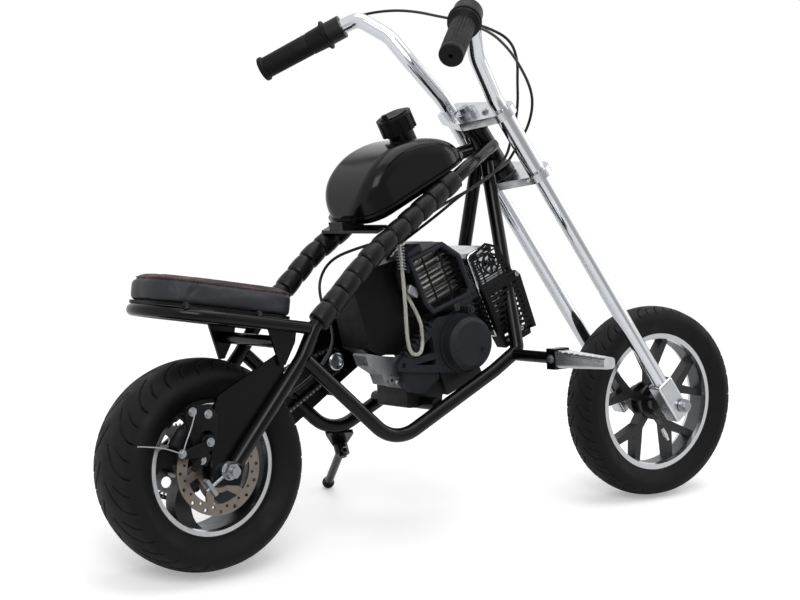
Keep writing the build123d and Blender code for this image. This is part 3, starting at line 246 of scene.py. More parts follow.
# Every finish has patches of two tones, a grain that lifts the surface, and a roughness that varies.
# patch and grain are sizes in mm; lift is how far the grain stands out, in mm.
finishes = {
    # stove enamel over steel tube: black, glossy, with the soft waviness of sprayed paint
    "blackEnamel": dict(tones=("#060607", "#0a0a0c"), patch=60, grain=3, lift=0.02, rough=(0.14, 0.24), gloss=0.2),
    # vinyl-covered foam band: black with a soft sheen and fine creases
    "wrapVinyl": dict(tones=("#08080a", "#0f0f11"), patch=14, grain=1.6, lift=0.1, rough=(0.3, 0.42), gloss=0.22),
    # chromium plate on steel: nearly a mirror, with faint clouding from handling
    "chromePlate": dict(tones=("#dadce0", "#c9ccd2"), patch=40, grain=8, lift=0.0015, rough=(0.05, 0.12), metal=1),
    # zinc-plated steel: grey with a blue tinge, satin, slightly uneven
    "zincSteel": dict(tones=("#b4b7bb", "#8b8f94"), patch=6, grain=0.8, lift=0.02, rough=(0.26, 0.42), metal=1),
    # brake disc: ground steel browned by heat and road dust
    "heatedSteel": dict(tones=("#9a928a", "#6f665e"), patch=18, grain=1.0, lift=0.01, rough=(0.28, 0.42), metal=1),
    # oiled chain steel: dark grey, dull, with bare bright spots where it rubs
    "oiledSteel": dict(tones=("#2a2a2b", "#56565a"), patch=5, grain=0.8, lift=0.03, rough=(0.35, 0.5), metal=1),
    # pressure-cast aluminium as it leaves the die: light grey, matt, pebbled
    "castAluminium": dict(tones=("#a6a8ab", "#808285"), patch=9, grain=1.2, lift=0.08, rough=(0.42, 0.6), metal=1),
    # turned and polished aluminium
    "polishedAluminium": dict(tones=("#d8dadd", "#b9bcc0"), patch=14, grain=1.0, lift=0.01, rough=(0.16, 0.3), metal=1),
    # black paint on cast iron: satin, with the sand's texture under it
    "blackCastIron": dict(tones=("#0a0a0b", "#131315"), patch=12, grain=1.4, lift=0.1, rough=(0.4, 0.58), gloss=0.12),
    # glass-filled nylon, injection moulded: black, fine spark-eroded grain
    "blackNylon": dict(tones=("#09090a", "#111113"), patch=14, grain=0.9, lift=0.05, rough=(0.36, 0.5), gloss=0.12),
    # the same nylon in charcoal
    "charcoalNylon": dict(tones=("#1c1d21", "#24262b"), patch=16, grain=0.9, lift=0.05, rough=(0.4, 0.54), gloss=0.15),
    # moulded grip rubber: deep black, matt
    "gripRubber": dict(tones=("#0a0a0b", "#121213"), patch=9, grain=1.1, lift=0.06, rough=(0.5, 0.66), gloss=0.15),
    # tyre rubber: carbon black with a dry bloom
    "tyreRubber": dict(tones=("#0d0d0e", "#151516"), patch=22, grain=1.6, lift=0.08, rough=(0.5, 0.7), gloss=0.14),
    # expanded vinyl on a cotton back, embossed with a leather grain
    "seatVinyl": dict(tones=("#2c2d30", "#333438"), patch=30, grain=1.5, lift=0.1, rough=(0.4, 0.52), gloss=0.2),
    # the darker vinyl of the seat's top panel
    "seatTopVinyl": dict(tones=("#1b1c1e", "#222326"), patch=30, grain=1.5, lift=0.1, rough=(0.42, 0.55), gloss=0.18),
    # polyester thread, red
    "redThread": dict(tones=("#8c1520", "#a8202c"), patch=4, grain=0.6, lift=0.05, rough=(0.55, 0.7), gloss=0.3),
    # extruded PVC sheath over a steel spiral: black with a sheen
    "cableSheath": dict(tones=("#0b0b0c", "#141415"), patch=12, grain=1.2, lift=0.03, rough=(0.28, 0.4), gloss=0.25),
}


def makeFinish(name, look):
    tree, place = startMaterial(name)
    patch, tone = twoTones(tree, place, look["patch"], look["tones"])
    grain = addNode(tree, "ShaderNodeTexNoise", Vector=place, Scale=1000 / look["grain"], Detail=5.0, Roughness=0.6)
    low, high = look["rough"]
    rough = addNode(tree, "ShaderNodeMapRange", Value=patch, From_Min=0.3, From_Max=0.7, To_Min=low, To_Max=high)
    bump = addNode(tree, "ShaderNodeBump", Height=grain, Distance=look["lift"] / 1000)
    coat(
        tree, Base_Color=tone, Metallic=float(look.get("metal", 0)), Roughness=rough,
        Normal=bump, Specular_IOR_Level=look.get("gloss", 0.5),
    )


for name, look in finishes.items():
    makeFinish(name, look)


def makeClearHose():
    # plasticised PVC tube, yellowed by fuel: clear enough to show light through its wall
    tree, place = startMaterial("yellowedClearTube")
    tone = twoTones(tree, place, 20, ("#dcd9cc", "#ecebe4"), detail=2.0)[1]
    coat(tree, Base_Color=tone, Roughness=0.14, IOR=1.53, Transmission_Weight=0.7)


makeClearHose()

# barrel and lip are where the spokes' black ends, from the axle and from the wheel's middle, in metres
wheelFinishes = {
    "rearWheelCast": dict(body="rear_wheel", centre=(0, 0, 0), barrel=0.0785, lip=0.028),
    "frontWheelCast": dict(body="front_wheel", centre=frontAxle, barrel=0.0915, lip=0.0135),
}


def makeWheelFinish(name, wheel):
    # cast wheel: black enamel spokes, a satin barrel outside their reach, and a machined bright lip at both edges
    tree, place = startMaterial(name)
    axis, soft = heading((0, 1, 0), wheel["body"]), 0.0003
    arm = addNode(tree, "ShaderNodeVectorMath", minus, in0=place, in1=put(wheel["centre"], wheel["body"]))
    cross = addNode(tree, "ShaderNodeVectorMath", {"operation": "CROSS_PRODUCT"}, in0=arm, in1=axis)
    far = addNode(tree, "ShaderNodeVectorMath", bySize, in0=cross)
    aside = addNode(tree, "ShaderNodeVectorMath", toThat, in0=arm, in1=axis)
    outward = addNode(tree, "ShaderNodeMath", {"operation": "ABSOLUTE"}, in0=aside.outputs["Value"])
    bright, atLip = (
        addNode(tree, "ShaderNodeMapRange", Value=value, From_Min=edge - soft, From_Max=edge + soft)
        for value, edge in ((far.outputs["Value"], wheel["barrel"]), (outward, wheel["lip"]))
    )
    patch, black = twoTones(tree, place, 16, ("#0a0a0b", "#131314"))
    metal = addNode(tree, "ShaderNodeMix", colours, in0=atLip, in6=toLinear("#5c5e62"), in7=toLinear("#d2d3d6"))
    tone = addNode(tree, "ShaderNodeMix", colours, in0=bright, in6=black, in7=metal.outputs[2])
    worn = addNode(tree, "ShaderNodeMapRange", Value=patch, From_Min=0.3, From_Max=0.7, To_Min=0.34, To_Max=0.46)
    rough = addNode(tree, "ShaderNodeMath", {"operation": "MULTIPLY_ADD"}, in0=atLip, in1=-0.18, in2=worn)
    coat(tree, Base_Color=tone.outputs[2], Metallic=bright, Roughness=rough)


for name, wheel in wheelFinishes.items():
    makeWheelFinish(name, wheel)


def makeHalfBare(name, floor, up, change):
    # die-cast metal painted satin black up to a line and left bare beyond it: the line stands square to one direction;
    # the bare tone is pale alloy, and on the engine's fins it is also a painted highlight against the hood's shade
    tree, place = startMaterial(name)
    soft = 0.0004
    arm = addNode(tree, "ShaderNodeVectorMath", minus, in0=place, in1=floor)
    high = addNode(tree, "ShaderNodeVectorMath", toThat, in0=arm, in1=up).outputs["Value"]
    bare = addNode(tree, "ShaderNodeMapRange", Value=high, From_Min=change - soft, From_Max=change + soft)
    patch, black = twoTones(tree, place, 9, ("#0a0a0b", "#131315"))
    # pale bare tone: the alloy's own colour, lifted further as painted highlight so that the engine's fins read lit in
    # the hood's shade
    metal = twoTones(tree, place, 9, ("#e2e1de", "#c3c3c1"))[1]
    tone = addNode(tree, "ShaderNodeMix", colours, in0=bare, in6=black, in7=metal)
    rough = addNode(tree, "ShaderNodeMapRange", Value=patch, From_Min=0.3, From_Max=0.7, To_Min=0.38, To_Max=0.55)
    grain = addNode(tree, "ShaderNodeTexNoise", Vector=place, Scale=1000 / 1.2, Detail=5.0)
    bump = addNode(tree, "ShaderNodeBump", Height=grain, Distance=0.0001)
    coat(
        tree, Base_Color=tone.outputs[2], Metallic=bare, Roughness=rough,
        Normal=bump, Specular_IOR_Level=0.3,
    )


engine = {"crank": (387.0, 0, 127.0), "tilt": 22.0, "caseHigh": 0.06}
engineTilt = radians(engine["tilt"])
engineX = Vector((cos(engineTilt), 0, sin(engineTilt)))
engineUp = Vector((-sin(engineTilt), 0, cos(engineTilt)))


def onEngine(u, y, w):
    # a point from the engine's directions: u forward, y left, w up from the crank
    return Vector(engine["crank"]) + engineX * u + Vector((0, y, 0)) + engineUp * w


makeHalfBare("engineCast", put(engine["crank"]), heading(engineUp), engine["caseHigh"])
# the left bar's straight end, from the fork's directions: the lever's bare part starts 6 mm along it
barEnd = {"inner": (-48.3, 168.8, 710.0), "outer": (-133.2, 237.0, 710.7), "leverBare": 0.006}
leverFoot, leverAway = (put(onFork(*barEnd[key]), "steering") for key in ("inner", "outer"))
makeHalfBare("leverAlloy", leverFoot, (leverAway - leverFoot).normalized(), barEnd["leverBare"])

slotFinish = {
    "paint": "blackEnamel", "wrap": "wrapVinyl", "chrome": "chromePlate", "steel": "zincSteel", "cast": "castAluminium",
    "alloy": "polishedAluminium", "black_cast": "blackCastIron", "plastic": "blackNylon", "tyre": "tyreRubber",
    "grey_plastic": "charcoalNylon", "rubber": "gripRubber", "vinyl": "seatVinyl", "clear_hose": "yellowedClearTube",
}
nodeFinish = {
    "rear_rim": "rearWheelCast", "front_rim": "frontWheelCast", "brake_disc": "heatedSteel", "chain": "oiledSteel",
    "jackshaft": "oiledSteel", "engine_block": "engineCast", "carburettor": "blackCastIron",
    "brake_lever": "leverAlloy",
}
nodeSlot = {part["node"]: part["material_slot"] for part in frame["record"]["subparts"]}
for node, piece in frame["nodes"].items():
    piece.data.materials.clear()
    piece.data.materials.append(materials[nodeFinish.get(node) or slotFinish[nodeSlot[node]]])
print("materials made:", len(materials))


def finishPiece(piece, body, replaces=(), angle=40):
    # one call for what every new piece needs: smooth faces with edges sharp past an angle, its body, and the nodes it
    # replaces hidden
    piece.data.shade_smooth()
    if angle:
        piece.data.set_sharp_from_angle(angle=radians(angle))
    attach(piece, body)
    if replaces:
        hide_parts(*replaces)


def addMesh(name, points, faces, finish):
    # a closed mesh, its doubles merged and its faces turned outwards
    mesh = bpy.data.meshes.new(name)
    mesh.from_pydata(points, [], faces)
    work = bmesh.new()
    work.from_mesh(mesh)
    bmesh.ops.remove_doubles(work, verts=work.verts, dist=1e-6)
    bmesh.ops.recalc_face_normals(work, faces=work.faces)
    work.to_mesh(mesh)
    work.free()
    mesh.materials.append(materials[finish])
    return addObject(name, mesh)


def ringFaces(rows, columns, closed=False):
    # quads between rows of points, where each row is a ring; closed joins the last row to the first
    faces = []
    for i in range(rows if closed else rows - 1):
        here, there = i * columns, (i + 1) % rows * columns
        faces += [(here + k, here + (k + 1) % columns, there + (k + 1) % columns, there + k) for k in range(columns)]
    return faces


def keepMesh(name, holder):
    # what a curve or a tree gives, as a plain mesh in place of its carrier
    bpy.context.view_layer.update()
    mesh = bpy.data.meshes.new_from_object(holder.evaluated_get(bpy.context.evaluated_depsgraph_get()))
    bpy.data.objects.remove(holder)
    return addObject(name, mesh)


def applyModifiers(piece):
    bpy.context.view_layer.objects.active = piece
    for modifier in list(piece.modifiers):
        bpy.ops.object.modifier_apply(modifier=modifier.name)


def startTree(name, **sockets):
    # a geometry tree with named inputs: its group input node gives one output for each
    tree = bpy.data.node_groups.new(name, "GeometryNodeTree")
    tree.interface.new_socket("Geometry", in_out="INPUT", socket_type="NodeSocketGeometry")
    tree.interface.new_socket("Geometry", in_out="OUTPUT", socket_type="NodeSocketGeometry")
    for label, kind in sockets.items():
        tree.interface.new_socket(label.replace("_", " "), in_out="INPUT", socket_type="NodeSocket" + kind)
    tree.interface.new_socket("Finish", in_out="INPUT", socket_type="NodeSocketMaterial")
    return tree, addNode(tree, "NodeGroupInput").outputs


def endTree(tree, given, geometry):
    real = addNode(tree, "GeometryNodeRealizeInstances", Geometry=geometry)
    coated = addNode(tree, "GeometryNodeSetMaterial", Geometry=real, Material=given["Finish"])
    addNode(tree, "NodeGroupOutput", in0=coated)
    return tree


def grow(name, carrier, tree, finish, body, slot, replaces=(), angle=40, **sizes):
    # runs a tree on a mesh or curve and keeps the result
    holder = addObject(name + "Carrier", carrier)
    modifier = holder.modifiers.new("tree", "NODES")
    modifier.node_group = tree
    sockets = {item.name: item.identifier for item in tree.interface.items_tree if item.in_out == "INPUT"}
    for label, value in sizes.items():
        modifier[sockets[label.replace("_", " ")]] = value
    modifier[sockets["Finish"]] = materials[finish]
    finishPiece(keepMesh(name, holder), body, replaces=replaces, angle=angle)


def cloud(name, spots):
    # a mesh of loose points, each with the direction it faces and its size: spots are (point, direction, size in m)
    mesh = bpy.data.meshes.new(name)
    mesh.from_pydata([tuple(point) for point, _, _ in spots], [], [])
    facing = mesh.attributes.new("facing", "FLOAT_VECTOR", "POINT")
    for i, (_, direction, _) in enumerate(spots):
        facing.data[i].vector = Vector(direction).normalized()
    size = mesh.attributes.new("size", "FLOAT", "POINT")  # added last: a new attribute moves the ones before it
    for i, (_, _, wide) in enumerate(spots):
        size.data[i].value = wide
    return mesh


def makeLine(name, points, closed=False, smooth=False):
    # a curve along points in metres: straight runs, or a smooth line that the points pull along
    curve = bpy.data.curves.new(name, "CURVE")
    curve.dimensions = "3D"
    spline = curve.splines.new("NURBS" if smooth else "POLY")
    spline.points.add(len(points) - 1)
    for spot, point in zip(spline.points, points):
        spot.co = tuple(point) + (1.0,)
    spline.use_cyclic_u = closed
    if smooth:
        spline.order_u = 3
        spline.use_endpoint_u = True
    return curve


def makeTube(name, curve, radius, finish, bevel=3):
    # a round tube on a line
    curve.resolution_u = 8
    curve.bevel_depth = radius / 1000
    curve.bevel_resolution = bevel
    curve.use_fill_caps = not curve.splines[0].use_cyclic_u
    piece = keepMesh(name, addObject(name + "Route", curve))
    piece.data.materials.clear()
    piece.data.materials.append(materials[finish])
    return piece


def makeFastenerTree():
    # screw, bolt or rivet heads on a cloud's points: a head with a recess on a washer, with the thread's end above it
    tree, given = startTree(
        "fasteners", Sides="Int", Head_High="Float", Washer="Float", Recess="Float", Recess_Deep="Float",
        Thread="Float", Round="Int",
    )
    head = addNode(tree, "GeometryNodeMeshCylinder", Vertices=given["Sides"], Radius=1.0, Depth=given["Head High"])
    half = addNode(tree, "ShaderNodeMath", times, in0=given["Head High"], in1=0.5)
    lift = addNode(tree, "ShaderNodeCombineXYZ", Z=half)
    placed = addNode(tree, "GeometryNodeSetPosition", Geometry=head, Offset=lift)
    rim = addNode(tree, "GeometryNodeExtrudeMesh", Mesh=placed, Selection=head.outputs["Top"], Offset_Scale=0.0)
    rimTop = addNode(
        tree, "GeometryNodeScaleElements", {"domain": "FACE"}, Geometry=rim, Selection=rim.outputs["Top"],
        Scale=given["Recess"],
    )
    deep = addNode(tree, "ShaderNodeMath", times, in0=given["Recess Deep"], in1=-1.0)
    sunk = addNode(
        tree, "GeometryNodeExtrudeMesh", Mesh=rimTop, Selection=rim.outputs["Top"],
        Offset_Scale=deep,
    )
    washer = addNode(tree, "GeometryNodeMeshCylinder", Vertices=given["Round"], Radius=given["Washer"], Depth=0.24)
    thread = addNode(tree, "GeometryNodeMeshCylinder", Vertices=given["Round"], Radius=0.5, Depth=given["Thread"])
    whole = addNode(tree, "GeometryNodeJoinGeometry", in0=[sunk, washer, thread])
    facing = addNode(tree, "GeometryNodeInputNamedAttribute", vectors, Name="facing")
    size = addNode(tree, "GeometryNodeInputNamedAttribute", numbers, Name="size")
    turn = addNode(tree, "FunctionNodeAlignRotationToVector", {"axis": "Z"}, Vector=facing)
    laid = addNode(
        tree, "GeometryNodeInstanceOnPoints", Points=given["Geometry"], Instance=whole,
        Rotation=turn, Scale=size,
    )
    return endTree(tree, given, laid)


def makeBandTree():
    # bands wound aslant round a tube: each is full in its middle and drawn in where the next one covers it
    tree, given = startTree(
        "woundBand", Tube_Radius="Float", Pitch="Float", Bulge="Float", Step="Float", Slant="Vector"
    )
    even = addNode(
        tree, "GeometryNodeResampleCurve", {"mode": "LENGTH"}, Curve=given["Geometry"], Length=given["Step"]
    )
    along = addNode(tree, "GeometryNodeSplineParameter")
    place = addNode(tree, "GeometryNodeInputPosition")
    withLength = addNode(
        tree, "GeometryNodeStoreNamedAttribute", numbers, Geometry=even, Name="bandLength",
        Value=along.outputs["Length"],
    )
    withMiddle = addNode(
        tree, "GeometryNodeStoreNamedAttribute", vectors, Geometry=withLength, Name="bandMiddle", Value=place
    )
    ring = addNode(tree, "GeometryNodeCurvePrimitiveCircle", Resolution=56, Radius=given["Tube Radius"])
    skin = addNode(tree, "GeometryNodeCurveToMesh", Curve=withMiddle, Profile_Curve=ring, Fill_Caps=True)
    far = addNode(tree, "GeometryNodeInputNamedAttribute", numbers, Name="bandLength")
    middle = addNode(tree, "GeometryNodeInputNamedAttribute", vectors, Name="bandMiddle")
    turns = addNode(tree, "ShaderNodeMath", {"operation": "DIVIDE"}, in0=far, in1=given["Pitch"])
    spoke = addNode(tree, "ShaderNodeVectorMath", minus, in0=place, in1=middle)
    unit = addNode(tree, "ShaderNodeVectorMath", {"operation": "NORMALIZE"}, in0=spoke)
    tilt = addNode(tree, "ShaderNodeVectorMath", toThat, in0=unit, in1=given["Slant"])
    wound = addNode(tree, "ShaderNodeMath", plus, in0=turns, in1=tilt.outputs["Value"])
    share = addNode(tree, "ShaderNodeMath", {"operation": "FRACT"}, in0=wound)
    shape = addNode(tree, "ShaderNodeFloatCurve", Value=share)
    lap = shape.mapping.curves[0]
    for at, high in ((0.06, 0.5), (0.25, 0.82), (0.55, 1.0), (0.85, 0.98), (0.95, 0.84), (0.985, 0.5)):
        lap.points.new(at, high)
    lap.points[0].location = (0.0, 0.1)
    lap.points[-1].location = (1.0, 0.0)
    shape.mapping.update()
    swell = addNode(tree, "ShaderNodeMath", times, in0=shape, in1=given["Bulge"])
    push = addNode(tree, "ShaderNodeVectorMath", {"operation": "SCALE"}, in0=unit, Scale=swell)
    swollen = addNode(tree, "GeometryNodeSetPosition", Geometry=skin, Offset=push)
    return endTree(tree, given, swollen)


def makeStitchTree():
    # stitches laid along a closed seam: short round capsules with gaps between them
    tree, given = startTree("stitches", Spacing="Float", Length="Float", Radius="Float")
    even = addNode(
        tree, "GeometryNodeResampleCurve", {"mode": "LENGTH"}, Curve=given["Geometry"], Length=given["Spacing"]
    )
    along = addNode(tree, "GeometryNodeInputTangent")
    turn = addNode(tree, "FunctionNodeAlignRotationToVector", {"axis": "Z"}, Vector=along)
    bead = addNode(tree, "GeometryNodeMeshUVSphere", Segments=8, Rings=6, Radius=1.0)
    size = addNode(tree, "ShaderNodeCombineXYZ", X=given["Radius"], Y=given["Radius"], Z=given["Length"])
    laid = addNode(
        tree, "GeometryNodeInstanceOnPoints", Points=even, Instance=bead,
        Rotation=turn, Scale=size,
    )
    return endTree(tree, given, laid)


def makeSpringTree():
    # a coil spring standing on each point of a cloud
    tree, given = startTree("coilSpring", Turns="Float", Coil_Radius="Float", Wire="Float", Long="Float")
    coil = addNode(
        tree, "GeometryNodeCurveSpiral", Resolution=20, Rotations=given["Turns"], Start_Radius=given["Coil Radius"],
        End_Radius=given["Coil Radius"], Height=given["Long"],
    )
    wire = addNode(tree, "GeometryNodeCurvePrimitiveCircle", Resolution=8, Radius=given["Wire"])
    skin = addNode(tree, "GeometryNodeCurveToMesh", Curve=coil, Profile_Curve=wire, Fill_Caps=True)
    facing = addNode(tree, "GeometryNodeInputNamedAttribute", vectors, Name="facing")
    turn = addNode(tree, "FunctionNodeAlignRotationToVector", {"axis": "Z"}, Vector=facing)
    laid = addNode(
        tree, "GeometryNodeInstanceOnPoints", Points=given["Geometry"], Instance=skin,
        Rotation=turn,
    )
    return endTree(tree, given, laid)


fastenerTree = makeFastenerTree()
print("geometry trees made")

# a head's sizes as shares of its radius; a recess below 0 deep stands up as a dome
heads = {
    "hexBolt": dict(Sides=6, Head_High=0.75, Washer=1.35, Recess=0.86, Recess_Deep=-0.06, Thread=0.1, Round=20),
    "socketScrew": dict(Sides=20, Head_High=0.9, Washer=1.0, Recess=0.55, Recess_Deep=0.6, Thread=0.1, Round=20),
    "chainPin": dict(Sides=8, Head_High=0.5, Washer=0.5, Recess=0.7, Recess_Deep=-0.15, Thread=0.1, Round=4),
}
seating = {"above": 0.03, "reach": 0.07, "sunk": 0.0002}  # where the search for a surface starts and ends, in m


def skinOf(nodes):
    # the faces of some CAD nodes or new pieces, to be met by a line
    points, faces = [], []
    for node in nodes:
        mesh = frame["nodes"][node].data if node in frame["nodes"] else bpy.data.objects[node].data
        start = len(points)
        points += [v.co.copy() for v in mesh.vertices]
        faces += [tuple(start + i for i in face.vertices) for face in mesh.polygons]
    return BVHTree.FromPolygons(points, faces)


def fasten(name, body, nodes, kind, finish, spots):
    # spots are (x, y, z, outward direction, head radius) in the body's own directions and in mm
    # each is let down against its direction until it meets one of the nodes
    skin = skinOf(nodes)
    found = []
    for x, y, z, direction, wide in spots:
        outward = heading(direction, body)
        hit = skin.ray_cast(put((x, y, z), body) + outward * seating["above"], -outward, seating["reach"])[0]
        if hit is None:
            print("nothing under", name, x, y, z)
        else:
            found.append((hit - outward * seating["sunk"], outward, wide / 1000))
    grow(name, cloud(name, found), fastenerTree, finish, body, "steel", angle=30, **heads[kind])


# ring is the raised line round each side: its radius, height and width
tyres = {
    "rear": dict(
        node="rear_tyre", body="rear_wheel", centre=(0, 0, 0), bead=84.0, flange=88.0, rimHalf=35.0, half=53.0,
        radius=137.5, around=1080, across=8, repeats=18, grooveWide=2.3, deep=3.2, start=4.0, stop=51.0, sweep=46.0,
        ring=(112.0, 0.7, 1.2),
    ),
    "front": dict(
        node="front_tyre", body="front_wheel", centre=frontAxle, bead=97.0, flange=102.5, rimHalf=20.0, half=31.0,
        radius=142.6, around=1080, across=6, repeats=27, grooveWide=1.8, deep=2.4, start=3.0, stop=30.0, sweep=26.0,
        ring=(121.0, 0.7, 1.2),
    ),
}


def tyreOutline(t):
    # y, r pairs from one bead over the crown to the other, through the CAD section's corners
    shoulder = t["radius"] - 0.30 * t["half"]
    rise = t["radius"] - t["bead"]
    seat = t["rimHalf"] - 3.3
    side = [
        (seat, t["bead"] + 0.3), (seat, t["flange"] + 0.3), (t["rimHalf"] + 2, t["flange"] + 0.4),
        (t["half"] - 2, t["bead"] + 0.42 * rise), (t["half"], t["bead"] + 0.62 * rise),
        (0.86 * t["half"], shoulder + 0.10 * t["half"]), (0.62 * t["half"], t["radius"] - 0.10 * t["half"]),
        (0.32 * t["half"], t["radius"] - 0.025 * t["half"]), (0.0, t["radius"]),
    ]
    corners = side[2:]
    smoothSide = []
    full = corners + [(-y, r) for y, r in reversed(corners[:-1])]
    for i in range(len(corners) - 1):
        a = full[i - 1] if i else full[0]
        b, c, d = full[i], full[i + 1], full[i + 2]
        steps = 3 if i < 1 else 5 if i < 2 else t["across"]
        for k in range(steps):
            u = k / steps
            smoothSide.append(tuple(
                0.5 * (2 * b[n] + (c[n] - a[n]) * u + (2 * a[n] - 5 * b[n] + 4 * c[n] - d[n]) * u * u
                       + (3 * b[n] - a[n] - 3 * c[n] + d[n]) * u ** 3) for n in (0, 1)
            ))
    inner = [(seat - 6, t["bead"] + 6), (seat - 6, t["bead"] + 0.3), side[0], side[1]]
    half = inner + smoothSide
    return half + [(0.0, t["radius"])] + [(-y, r) for y, r in reversed(half)]


def treadDepth(t, y, angle):
    # grooves run square to the tyre at the shoulder and bend round towards the crown; the sides are half a step apart
    reach = abs(y)
    if not t["start"] < reach < t["stop"]:
        return 0.0
    step = 2 * pi * t["radius"] / t["repeats"]
    span = t["stop"] - t["start"]
    share = (reach - t["start"]) / span
    bend = 2.1
    inner, outer, wall = 14, 12, 0.45  # how fast a groove deepens at its two ends, and its sloping walls' share of it
    along = angle * t["radius"] + t["sweep"] * (1 - share) ** bend + (step / 2 if y > 0 else 0)
    slant = sqrt(1 + (t["sweep"] * bend * (1 - share) ** (bend - 1) / span) ** 2)
    deepest = 0.0
    # long grooves, and shorter and narrower ones halfway between them
    for shift, start, stop, wide in ((0, 0.0, 0.97, 1.0), (step * 0.5, 0.36, 0.92, 0.9)):
        off = (along + shift + step / 2) % step - step / 2
        grooveHalf = t["grooveWide"] * wide * slant / 2
        if start < share < stop and abs(off) < grooveHalf:
            ends = min(1.0, (share - start) * inner, (stop - share) * outer)
            deepest = max(deepest, t["deep"] * ends * min(1.0, (grooveHalf - abs(off)) / (wall * grooveHalf)))
    return deepest


def makeTyre(name, t):
    outline = tyreOutline(t)
    ringR, ringHigh, ringWide = t["ring"]
    treadFrom = t["radius"] - 0.42 * t["half"]
    points = []
    for i in range(t["around"]):
        angle = 2 * pi * i / t["around"]
        for y, r in outline:
            depth = treadDepth(t, y, angle) if r > treadFrom else 0.0
            if abs(y) > t["rimHalf"] + 3:
                depth -= ringHigh * exp(-(((r - ringR) / ringWide) ** 2))
            spoke = Vector(((r - depth) * cos(angle), y, (r - depth) * sin(angle)))
            points.append(put(Vector(t["centre"]) + spoke, t["body"]))
    piece = addMesh(name, points, ringFaces(t["around"], len(outline), closed=True), "tyreRubber")
    finishPiece(piece, t["body"], replaces=(t["node"],), angle=50)


for name, t in tyres.items():
    makeTyre(name + "TyreTread", t)
print("tyres made")

seat = {
    "slope": 0.18, "z": 191.5, "floor": 12.6, "thick": 33.0, "midX": 25.0, "halfLong": 104.0, "halfWide": 70.0,
    "corner": 56.0, "shrink": 2.5, "around": 96, "voxel": 4.0, "pressure": 3.0, "stiffness": 20, "steps": 20,
    "heldHigh": 3.0, "cap": 3.0, "seamDown": 6.0, "seamWide": 2.0, "seamDeep": 1.3, "seamPoints": 240,
    "seamReach": 8.0, "probe": 30.0,
    "stitchSpacing": 5.2, "stitchLong": 1.7, "stitchR": 0.45, "stitchOut": (0.6, 2.4),
}
seatX = Vector((1, 0, -seat["slope"])).normalized()
seatUp = Vector((seat["slope"], 0, 1)).normalized()
padUp = heading(seatUp)


def onSeat(u, v, w):
    # the seat's own directions: u forward, v left, w up from the plane of its tube
    return Vector((0, 0, seat["z"])) + seatX * u + Vector((0, v, 0)) + seatUp * w


def padOutline(shrink, count):
    # rounded rectangle, evenly stepped: u, v pairs with the outward direction
    long, wide, corner = seat["halfLong"] - shrink, seat["halfWide"] - shrink, seat["corner"] - shrink
    route = []
    arcs = 16
    for cu, cv, start in ((1, 1, 0), (-1, 1, 90), (-1, -1, 180), (1, -1, 270)):
        for k in range(arcs + 1):
            a = radians(start + 90 * k / arcs)
            u, v = seat["midX"] + cu * (long - corner) + corner * cos(a), cv * (wide - corner) + corner * sin(a)
            route.append((u, v, cos(a), sin(a)))
    lengths = [0.0]
    for i in range(len(route)):
        b = route[(i + 1) % len(route)]
        lengths.append(lengths[-1] + sqrt((b[0] - route[i][0]) ** 2 + (b[1] - route[i][1]) ** 2))
    result = []
    for n in range(count):
        want = lengths[-1] * n / count
        i = max(k for k in range(len(route)) if lengths[k] <= want + 1e-9)
        a, b = route[i], route[(i + 1) % len(route)]
        u = (want - lengths[i]) / max(lengths[i + 1] - lengths[i], 1e-9)
        result.append(tuple(a[k] + (b[k] - a[k]) * u for k in range(4)))
    return result


def makePad():
    low, high = seat["floor"], seat["floor"] + seat["thick"]
    levels = [  # how high, and how far the side has drawn in there
        (low, 3.0), (low + 2, 0.6), (low + 5, 0.0), (high - 7, 0.0), (high - 4.4, 0.7), (high - 2.2, 2.4),
        (high - 1, 5.0), (high - 1, 10.0),
    ]
    count = seat["around"]
    points = [
        put(onSeat(u, v, w)) for w, inward in levels for u, v, _, _ in padOutline(seat["shrink"] + inward, count)
    ]
    faces = ringFaces(len(levels), count)
    faces.append(tuple(reversed(range(count))))
    faces.append(tuple((len(levels) - 1) * count + n for n in range(count)))
    piece = addMesh("seatCushion", points, faces, "seatVinyl")
    remesh = piece.modifiers.new("even", "REMESH")
    remesh.mode = "VOXEL"
    remesh.voxel_size = seat["voxel"] / 1000
    applyModifiers(piece)
    rest = [v.co.copy() for v in piece.data.vertices]
    foot = put(onSeat(seat["midX"], 0, seat["floor"]))
    held = piece.vertex_groups.new(name="held")
    held.add([i for i, p in enumerate(rest) if (p - foot).dot(padUp) < seat["heldHigh"] / 1000], 1.0, "REPLACE")
    cloth = piece.modifiers.new("cloth", "CLOTH")
    cloth.settings.use_pressure = True
    cloth.settings.uniform_pressure_force = seat["pressure"]
    cloth.settings.effector_weights.gravity = 0
    cloth.settings.vertex_group_mass = "held"
    cloth.settings.quality = 6
    cloth.settings.tension_stiffness = cloth.settings.compression_stiffness = seat["stiffness"]
    for step in range(1, seat["steps"] + 1):
        bpy.context.scene.frame_set(step)
    shaped = piece.evaluated_get(bpy.context.evaluated_depsgraph_get())
    moved = [v.co.copy() for v in shaped.data.vertices]
    piece.modifiers.remove(cloth)
    bpy.context.scene.frame_set(1)
    for v, before, after in zip(piece.data.vertices, rest, moved):
        shift = after - before
        far = shift.length
        v.co = before + shift * (min(far, seat["cap"] / 1000) / far if far > 1e-9 else 0)
    finer = piece.modifiers.new("finer", "SUBSURF")
    finer.levels = finer.render_levels = 1
    applyModifiers(piece)
    return piece


